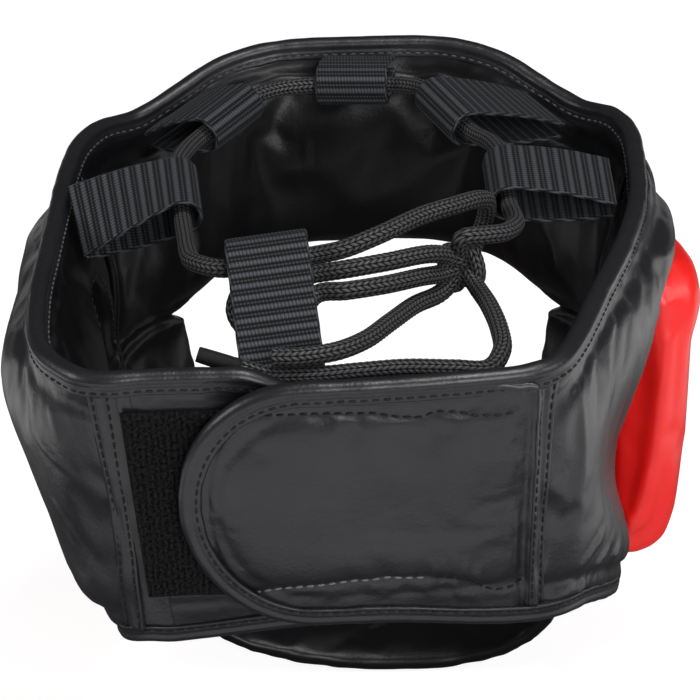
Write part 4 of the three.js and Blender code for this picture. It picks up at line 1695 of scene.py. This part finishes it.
# The strips' edges beside the tab or the flap and beside the side panels, from the rim down.
LEFT_SEAM_NEAR = (
    (62.2, 92, -4.5), (61.7, 91, -25), (61.2, 90, -38), (61.1, 90, -55), (61.0, 90, -72), (60.4, 88, -90.5),
)
LEFT_SEAM_FAR = (
    (70.3, 94, -4.5), (69.6, 94, -18), (68.3, 93, -33), (67.6, 92, -46), (67.5, 91, -58), (67.9, 88, -73),
    (68, 86, -90.5),
)
LEFT_SEAM_UNDER = ((56.5, 92, -4.5), (54.5, 90, -40), (51.5, 88, -90))
RIGHT_SEAM_NEAR = ((-59.8, 95, -4.5), (-59.0, 94, -22), (-57.6, 92, -46), (-56.6, 90, -68), (-56.3, 89, -82))
RIGHT_SEAM_FAR = (
    (-66.6, 91, -4.5), (-65.5, 93, -14), (-64.0, 93, -32), (-62.8, 92, -49), (-61.8, 91, -64),
    (-61.4, 88, -83),
)


@dataclass
class Welt:
    """A thin leather piping sewn into the joint between two pads."""

    name: str
    points: Sequence[Sequence[float]]
    inward: tuple[float, float, float]
    aside: tuple[float, float, float]
    spread: float = 5.0
    radius: float = 1.9
    thinnest: float = 0.2
    sink: float = 0.6

    def build(self, material: bpy.types.Material, drape: Drape) -> bpy.types.Object:
        """Makes the piping along the joint.

        Args:
            material: The leather.
            drape: The pads on both sides.

        Returns:
            The piping.
        """
        line = even_line(self.points, 2.0)
        way = np.tile(unit(np.asarray(self.inward, float)), (len(line), 1))
        shift = self.spread * np.asarray(self.aside, float)
        depths = [((drape.lay(line + k * shift, way, 45.0)[0] - line) * way).sum(1) for k in (-1, 1)]
        depth = softened(np.minimum(*depths)[:, None], 5)
        line = line + way * (depth + self.sink)
        across, over = carried(line)

        def place(u: np.ndarray, v: np.ndarray) -> np.ndarray:
            """Turns a round section along the joint, which runs out at both ends.

            Args:
                u: Shares across.
                v: Shares along.

            Returns:
                The points.
            """
            i = np.rint(v * (len(line) - 1)).astype(int)
            full = np.sin(math.pi * np.clip(v, 0.02, 0.98)) ** 0.4
            radius = self.thinnest + (self.radius - self.thinnest) * full
            return line[i] + radius[:, None] * around(u, across[i], over[i])

        return seat(new_piece(self.name, formed_grid(12, len(line) - 1, place), material), "black_leather")


EAR_Y, EAR_Z, EAR_HALF_WIDTH, EAR_HALF_HEIGHT = -25, -60, 21, 28


def ear_ring(side: float, margin: float = 5.5) -> np.ndarray:
    """Gives a ring round an ear opening, just clear of its edge.

    Args:
        side: 1 on the wearer's left, -1 on the right.
        margin: The way out from the edge.

    Returns:
        The ring's points near the middle of the wall.
    """
    turn = np.linspace(0, 2 * math.pi, 90)
    y = EAR_Y + (EAR_HALF_WIDTH + margin) * np.cos(turn)
    z = EAR_Z + (EAR_HALF_HEIGHT + margin) * np.sin(turn)
    return np.stack([np.full_like(y, side * 90), y, z], axis=1)


# The studio.
@dataclass
class Studio:
    """A pale floor, soft light and the photograph's camera."""

    elevation: float = 29.0
    azimuth: float = 4.0
    roll: float = 3.0
    distance: float = 900.0
    focal_pixels: float = 2754.0
    target: tuple[float, float, float] = (0, 0, -60)
    centre: tuple[float, float] = (351, 400)
    card_drop: float = 0.002
    ambient: float = 0.06
    sensor: float = 36.0

    def build(self, floor_height: float) -> None:
        """Sets up the floor, the lights and the camera.

        Args:
            floor_height: Where the floor lies, in metres.
        """
        self.floor(floor_height)
        self.lights()
        self.camera()

    def floor(self, height: float) -> None:
        """Lays a plain pale floor under the lowest point, with cards in it that only gloss shows.

        Args:
            height: Where the floor lies, in metres.
        """
        material, _, shader = new_surface("Matt white sweep, lit from below")
        shader.inputs["Base Color"].default_value = linear("#9a9a9a")
        shader.inputs["Roughness"].default_value = 0.9
        shader.inputs["Emission Color"].default_value = linear("#ffffff")
        shader.inputs["Emission Strength"].default_value = 0.85
        for name, centre, half_x, half_y in (
            ("floor", (0.0, 0.0), 4.0, 4.0),
            ("rear_card", (-0.05, 0.42), 0.7, 0.2),
            ("right_card", (-0.52, -0.09), 0.28, 0.31),
            ("left_card", (0.56, -0.1), 0.24, 0.26),
            ("front_card", (0.0, -1.0), 0.8, 0.25),
        ):
            card = name != "floor"
            bm = bmesh.new()
            bmesh.ops.create_grid(bm, x_segments=1, y_segments=1, size=1.0)
            bmesh.ops.scale(bm, verts=bm.verts, vec=Vector((half_x, half_y, 1)))
            bmesh.ops.translate(bm, verts=bm.verts, vec=Vector((*centre, height - card * self.card_drop)))
            sheet = new_piece(name, bm, material)
            sheet.visible_glossy = card
            sheet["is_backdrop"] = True

    def lights(self) -> None:
        """Hangs large soft boxes above, behind the camera and at both sides, before a white backdrop."""
        world = bpy.data.worlds.new("Studio")
        bpy.context.scene.world = world
        world.use_nodes = True
        tree = world.node_tree
        background = tree.nodes["Background"]
        background.inputs["Color"].default_value = (1, 1, 1, 1)
        seen = add_node(tree, "ShaderNodeLightPath").outputs["Is Camera Ray"]
        glow = add_node(tree, "ShaderNodeMapRange", {"Value": seen, "To Min": self.ambient, "To Max": 1.0})
        tree.links.new(glow.outputs["Result"], background.inputs["Strength"])
        for name, place, aim, size, power in (
            ("top_box", (-0.3, 0.15, 1.2), (0, 0, 0), 0.4, 10.0),
            ("rear_box", (-0.5, 1.5, 0.6), (0, 0.05, -0.05), 0.7, 17.0),
            ("left_strip", (1.2, 0.3, 0.55), (0, 0, -0.05), 0.5, 6.0),
            ("right_strip", (-1.2, 0.4, 0.55), (0, 0, -0.05), 0.5, 5.0),
        ):
            data = bpy.data.lights.new(name, "AREA")
            data.size = size
            data.energy = power
            light = bpy.data.objects.new(name, data)
            light.location = place
            light.rotation_mode = "QUATERNION"
            light.rotation_quaternion = (Vector(aim) - Vector(place)).to_track_quat("-Z", "Y")
            bpy.context.scene.collection.objects.link(light)
        bpy.context.scene.view_settings.view_transform = "Standard"

    def camera(self) -> None:
        """Sets the camera at the photograph's place, aimed through the middle of its frame."""
        e, a, r = (math.radians(v) for v in (self.elevation, self.azimuth, self.roll))
        back = np.array([-math.sin(a) * math.cos(e), math.cos(a) * math.cos(e), math.sin(e)])
        right = unit(np.cross(-back, (0.0, 0.0, 1.0)))
        up = np.cross(right, -back)
        right, up = math.cos(r) * right - math.sin(r) * up, math.sin(r) * right + math.cos(r) * up
        shift_x, shift_y = ((IMAGE_PIXELS / 2 - c) / self.focal_pixels for c in self.centre)
        ahead = unit(-back + shift_x * right - shift_y * up)
        up = unit(up - ahead * np.dot(up, ahead))
        right = np.cross(ahead, up)
        data = bpy.data.cameras.new("camera")
        data.sensor_width = self.sensor
        data.lens = self.sensor * self.focal_pixels / IMAGE_PIXELS
        data.clip_start, data.clip_end = 0.05, 20.0
        camera = bpy.data.objects.new("camera", data)
        place = (np.asarray(self.target, float) + self.distance * back) * MM
        camera.matrix_world = Matrix.Translation(Vector(place)) @ turned(right, up, -ahead)
        bpy.context.scene.collection.objects.link(camera)
        bpy.context.scene.camera = camera


# Sewn lines and folds that the photograph shows, laid on the solids.
FLAP_TOP_ROW = (
    (24.8, 103, -7.6), (17.5, 103, -7.4), (7.5, 102.8, -7.3), (-3.8, 102.4, -7.6), (-13.5, 101.8, -8),
    (-20, 101.6, -9.6), (-26.5, 101, -10.3), (-32, 100.1, -8.8), (-37.6, 99.5, -9.4), (-43, 98.9, -10.6),
    (-49.6, 97.9, -10.8), (-56, 95.5, -9.8),
)
FLAP_FOOT_ROW = (
    (25.7, 97.2, -71.8), (14.2, 98.7, -69), (-0.7, 98.3, -67.6), (-14.4, 97.5, -66.8), (-28.6, 95.9, -67.6),
    (-34.8, 95, -68.8), (-38.8, 94.2, -70.4), (-42.7, 92.5, -73.2), (-46.9, 91.2, -74.6),
    (-51.1, 90.7, -74.2), (-55, 90, -72.8),
)
PALE_POINTS = 5  # points of the foot row along which its thread is worn pale
FLAP_CREASE = (
    (24.8, 103, -7.6), (29.1, 102.5, -12.7), (32.3, 101.9, -19.1), (34.6, 101.3, -25.6), (36, 100.7, -32.8),
    (36.6, 99.9, -41.1), (36.2, 99.1, -49.6), (35, 98.5, -56.4), (33, 98, -62.3), (30, 97.6, -67.5),
    (25.7, 97.2, -71.8),
)
FLAP_GATHERS = (
    ((-28.2, 96.8, -60.2), (-28.9, 96.3, -64.5), (-29.3, 95.5, -69.9)),
    ((-31, 96.5, -59.6), (-31.8, 95.9, -64.8), (-32.7, 95, -70.3)),
    ((-34.4, 96.1, -58.1), (-35.2, 95.4, -65.2), (-36, 94.4, -71.6)),
    ((-37.7, 95.4, -61), (-38.3, 94.7, -67.3), (-39.1, 93.5, -73)),
    ((-41, 94.6, -64.9), (-41.3, 94.1, -68.6), (-41.5, 93.7, -71.3)),
    ((-34.7, 94.7, -70.5), (-36, 93.2, -74.8), (-37.2, 92.4, -77.6)),
    ((-38.7, 93.5, -73), (-39.7, 92.2, -76.7), (-40.6, 91.9, -78)),
)
RIGHT_FOLDS = (
    ((-86.5, 62, -66), (-82.8, 68, -69.5), (-77.6, 75.4, -72.2), (-73.3, 80.4, -75.5)),
    ((-87, 54, -77), (-82.2, 66, -79), (-77, 73, -82.5), (-72, 77, -87)),
    ((-87.5, 46, -85), (-83, 60, -88), (-77, 68, -92)),
)
LEFT_FOLDS = (
    ((91.2, 76.4, -9), (91.3, 76.2, -17.1), (91.1, 76.2, -24)),
    ((86.4, 81.7, -8), (84.2, 85.1, -16.9), (81.7, 86.8, -24)),
    ((81.5, 86.5, -7), (78.4, 89.7, -13.6), (76, 91.1, -20)),
    ((76.9, 90, -7), (74.7, 92.6, -12.1), (73.4, 92.9, -16)),
    ((89.7, 76, -28), (81.6, 85.7, -33.8), (77, 88.2, -38.8)),
    ((86.8, 74, -50), (80.4, 80.5, -64.5), (75.7, 83.7, -70.8)),
)
LINING_PLEATS = (
    ((43.3, -112.8, -18), (42.4, -111.9, -36.7), (44, -109.8, -56)),
    ((19.7, -119.3, -12), (19.6, -117.7, -27.4), (20.8, -116.7, -48)),
    ((-1.2, -119, -12), (-0.5, -117.2, -36.7), (-1, -116.6, -46), (4.1, -117.7, -60)),
    ((-0.8, -117, -40), (-3, -116.6, -50), (-7, -117.4, -60)),
    ((-27, -118.5, -12), (-27.5, -117.2, -27.6), (-27.5, -116.3, -52)),
    ((-36, -116.4, -14), (-35.4, -115, -34.6), (-36.2, -114.4, -58)),
)


@dataclass
class Headgear:
    """The whole headgear, built piece by piece."""

    finishes: dict[object, bpy.types.Material] = field(default_factory=dict)

    def build(self) -> None:
        """Builds every piece in order."""
        for finish in (BLACK, SHADED_LINING, RED, WEBBING, LACING, PILE, THREAD, INNER_THREAD, PALE_THREAD, FILM):
            self.finishes[finish] = finish.material()
        Lacing().build(self.finishes[LACING], self.finishes[FILM])
        for loop in LOOPS:
            loop.build(self.finishes[WEBBING])
        pads = {pad.node: pad.build(self.finishes) for pad in self.pads()}
        bindings = self.bindings()
        LoopPile().build(self.finishes[PILE])
        self.stitches(pads, bindings)

    def pads(self) -> list[Pad]:
        """Lists the padded pieces with their folds.

        Returns:
            The pads, in the order in which they are made.
        """
        black = (BLACK, "black_leather")
        cheek = dict(
            voxel=3.6, slack=0.005, firmness=12.0, wrinkle=0.2, wrinkle_size=(40, 40, 60),
            press=squared_cheek, lined=False,
        )
        thin = dict(voxel=1.8, shrink=0.4, slack=0.01, frames=10)
        groove = [(x + 1.7, y, z) for x, y, z in RIGHT_SEAM_NEAR]
        flap_marks = [
            Mark(FLAP_TOP_ROW, 1.2, -0.3),
            Mark(FLAP_FOOT_ROW, 1.3, -0.5),
            Mark(FLAP_FOOT_ROW, 5.0, -0.6),
            Mark(FLAP_CREASE, 0.9, -0.6),
            Mark(groove, 1.5, -1.5, flat=True),
            *(Mark(line, 1.9, 0.55, fold=True) for line in FLAP_GATHERS),
        ]
        pleats = [Mark(line, 1.9, 0.9, fold=True) for line in LINING_PLEATS]
        left_folds = [Mark(line, 2.4, 0.9, fold=True) for line in LEFT_FOLDS]
        right_folds = [Mark(line, 2.6, 1.5, fold=True) for line in RIGHT_FOLDS]
        return [
            Pad(
                "forehead_pad", *black, wrinkle=0.5, wrinkle_size=(14, 14, 50), seed=1,
                press=drawn_forehead, marks=pleats,
            ),
            Pad("side_pad_left", *black, wrinkle=0.5, seed=2, press=swelled_wall, marks=left_folds),
            Pad("side_pad_right", *black, wrinkle=0.45, seed=3, press=pressed_wall, marks=right_folds),
            Pad("cheek_wing_left", *black, press=raised_wing, seed=4),
            Pad("cheek_wing_right", *black, press=pressed_wing, seed=5),
            Pad("cheek_pad_left", RED, "red_leather", seed=6, **cheek),
            Pad("cheek_pad_right", RED, "red_leather", seed=8, **cheek),
            Pad("chin_strap", *black, voxel=2.6, swell=2.0, shrink=1.0, seed=9),
            Pad("rear_tab", *black, press=tucked_tab, swell=0.8, wrinkle=0.2, seed=10, **thin),
            Pad(
                "rear_flap", *black, press=stretched_flap, swell=1.0, wrinkle=0.12, seed=11,
                marks=flap_marks, **thin,
            ),
        ]

    def bindings(self) -> list[Binding]:
        """Makes the folded bindings.

        Returns:
            The bindings.
        """
        made = [
            Binding("dressed_rim_binding", ("rim_binding", "hem_binding_right"), RIM),
            Binding("dressed_hem_binding_left", ("hem_binding_left",), HEM_LEFT),
        ]
        for binding in made:
            binding.build(self.finishes[BLACK])
        return made

    def stitches(self, pads: dict[str, bpy.types.Object], bindings: list[Binding]) -> None:
        """Sews the bindings and the flap, and lays the welts and the strips over the rear seams.

        Args:
            pads: The padded pieces, by the solid that each stands for.
            bindings: The folded bindings.
        """
        edges, inner_edges = Stitching("edge_stitches"), Stitching("inner_edge_stitches")
        for binding in bindings:
            edges.add(*binding.stitch_line(Side.OUT))
            inner_edges.add(*binding.stitch_line(Side.IN))
        for side, pad in ((1.0, "side_pad_left"), (-1.0, "side_pad_right")):
            drape = Drape(pads[pad])
            ring = ear_ring(side)
            edges.add(*drape.lay(ring, np.tile([side, 0.0, 0.0], (len(ring), 1)), 40.0))
        edges.build(self.finishes[THREAD])
        inner_edges.build(self.finishes[INNER_THREAD])
        shell = Drape(*(pads[n] for n in pads if n.startswith(("forehead", "side_pad", "cheek_wing"))))
        for side, name in ((1.0, "left"), (-1.0, "right")):
            outer = [(side * 95, -61.6, -6), (side * 93, -61.6, -42)]
            inner = [(side * 92, -61.6, -6), (side * 86, -61.4, -80), (side * 84, -61, -150)]
            Welt(f"welt_outer_{name}", outer, (-side, 0, 0), (0, 1, 0)).build(self.finishes[BLACK], shell)
            Welt(f"welt_inner_{name}", inner, (side, 0, 0), (0, 1, 0)).build(self.finishes[SHADED_LINING], shell)
        seams = Stitching("seam_stitches")
        left = Drape(pads["side_pad_left"], pads["rear_tab"])
        right = Drape(pads["side_pad_right"], pads["rear_flap"])
        for name, drape, way, near, far, sewn in (
            ("seam_allowance_left", left, (0.25, 0.97, 0.1), LEFT_SEAM_UNDER, LEFT_SEAM_FAR, False),
            ("seam_strip_left", left, (0.25, 0.97, 0.1), LEFT_SEAM_NEAR, LEFT_SEAM_FAR, True),
            ("seam_strip_right", right, (-0.2, 0.97, 0.1), RIGHT_SEAM_NEAR, RIGHT_SEAM_FAR, True),
        ):
            strip = SeamStrip(name, near, far, way, 1.5 if sewn else 0.3, sewn)
            strip.build(self.finishes[BLACK], drape, seams)
        seams.build(self.finishes[THREAD])
        flap = Drape(pads["rear_flap"])
        for name, points, finish in (
            ("flap_top_stitches", FLAP_TOP_ROW, THREAD),
            ("flap_foot_stitches", FLAP_FOOT_ROW[:PALE_POINTS], PALE_THREAD),
            ("flap_gather_stitches", FLAP_FOOT_ROW[PALE_POINTS - 1 :], THREAD),
        ):
            row = Stitching(name)
            line = even_line(points, 1.0)
            row.add(*flap.lay(line, np.tile([0.0, -1.0, 0.0], (len(line), 1))))
            row.build(self.finishes[finish])


def main() -> None:
    """Builds the studio under the lowest point of the imported solids, and then the headgear."""
    logging.basicConfig(level=logging.INFO, format="%(name)s: %(message)s")
    low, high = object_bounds()
    Studio().build(low.z)
    Headgear().build()


if __name__ == "__main__":
    main()
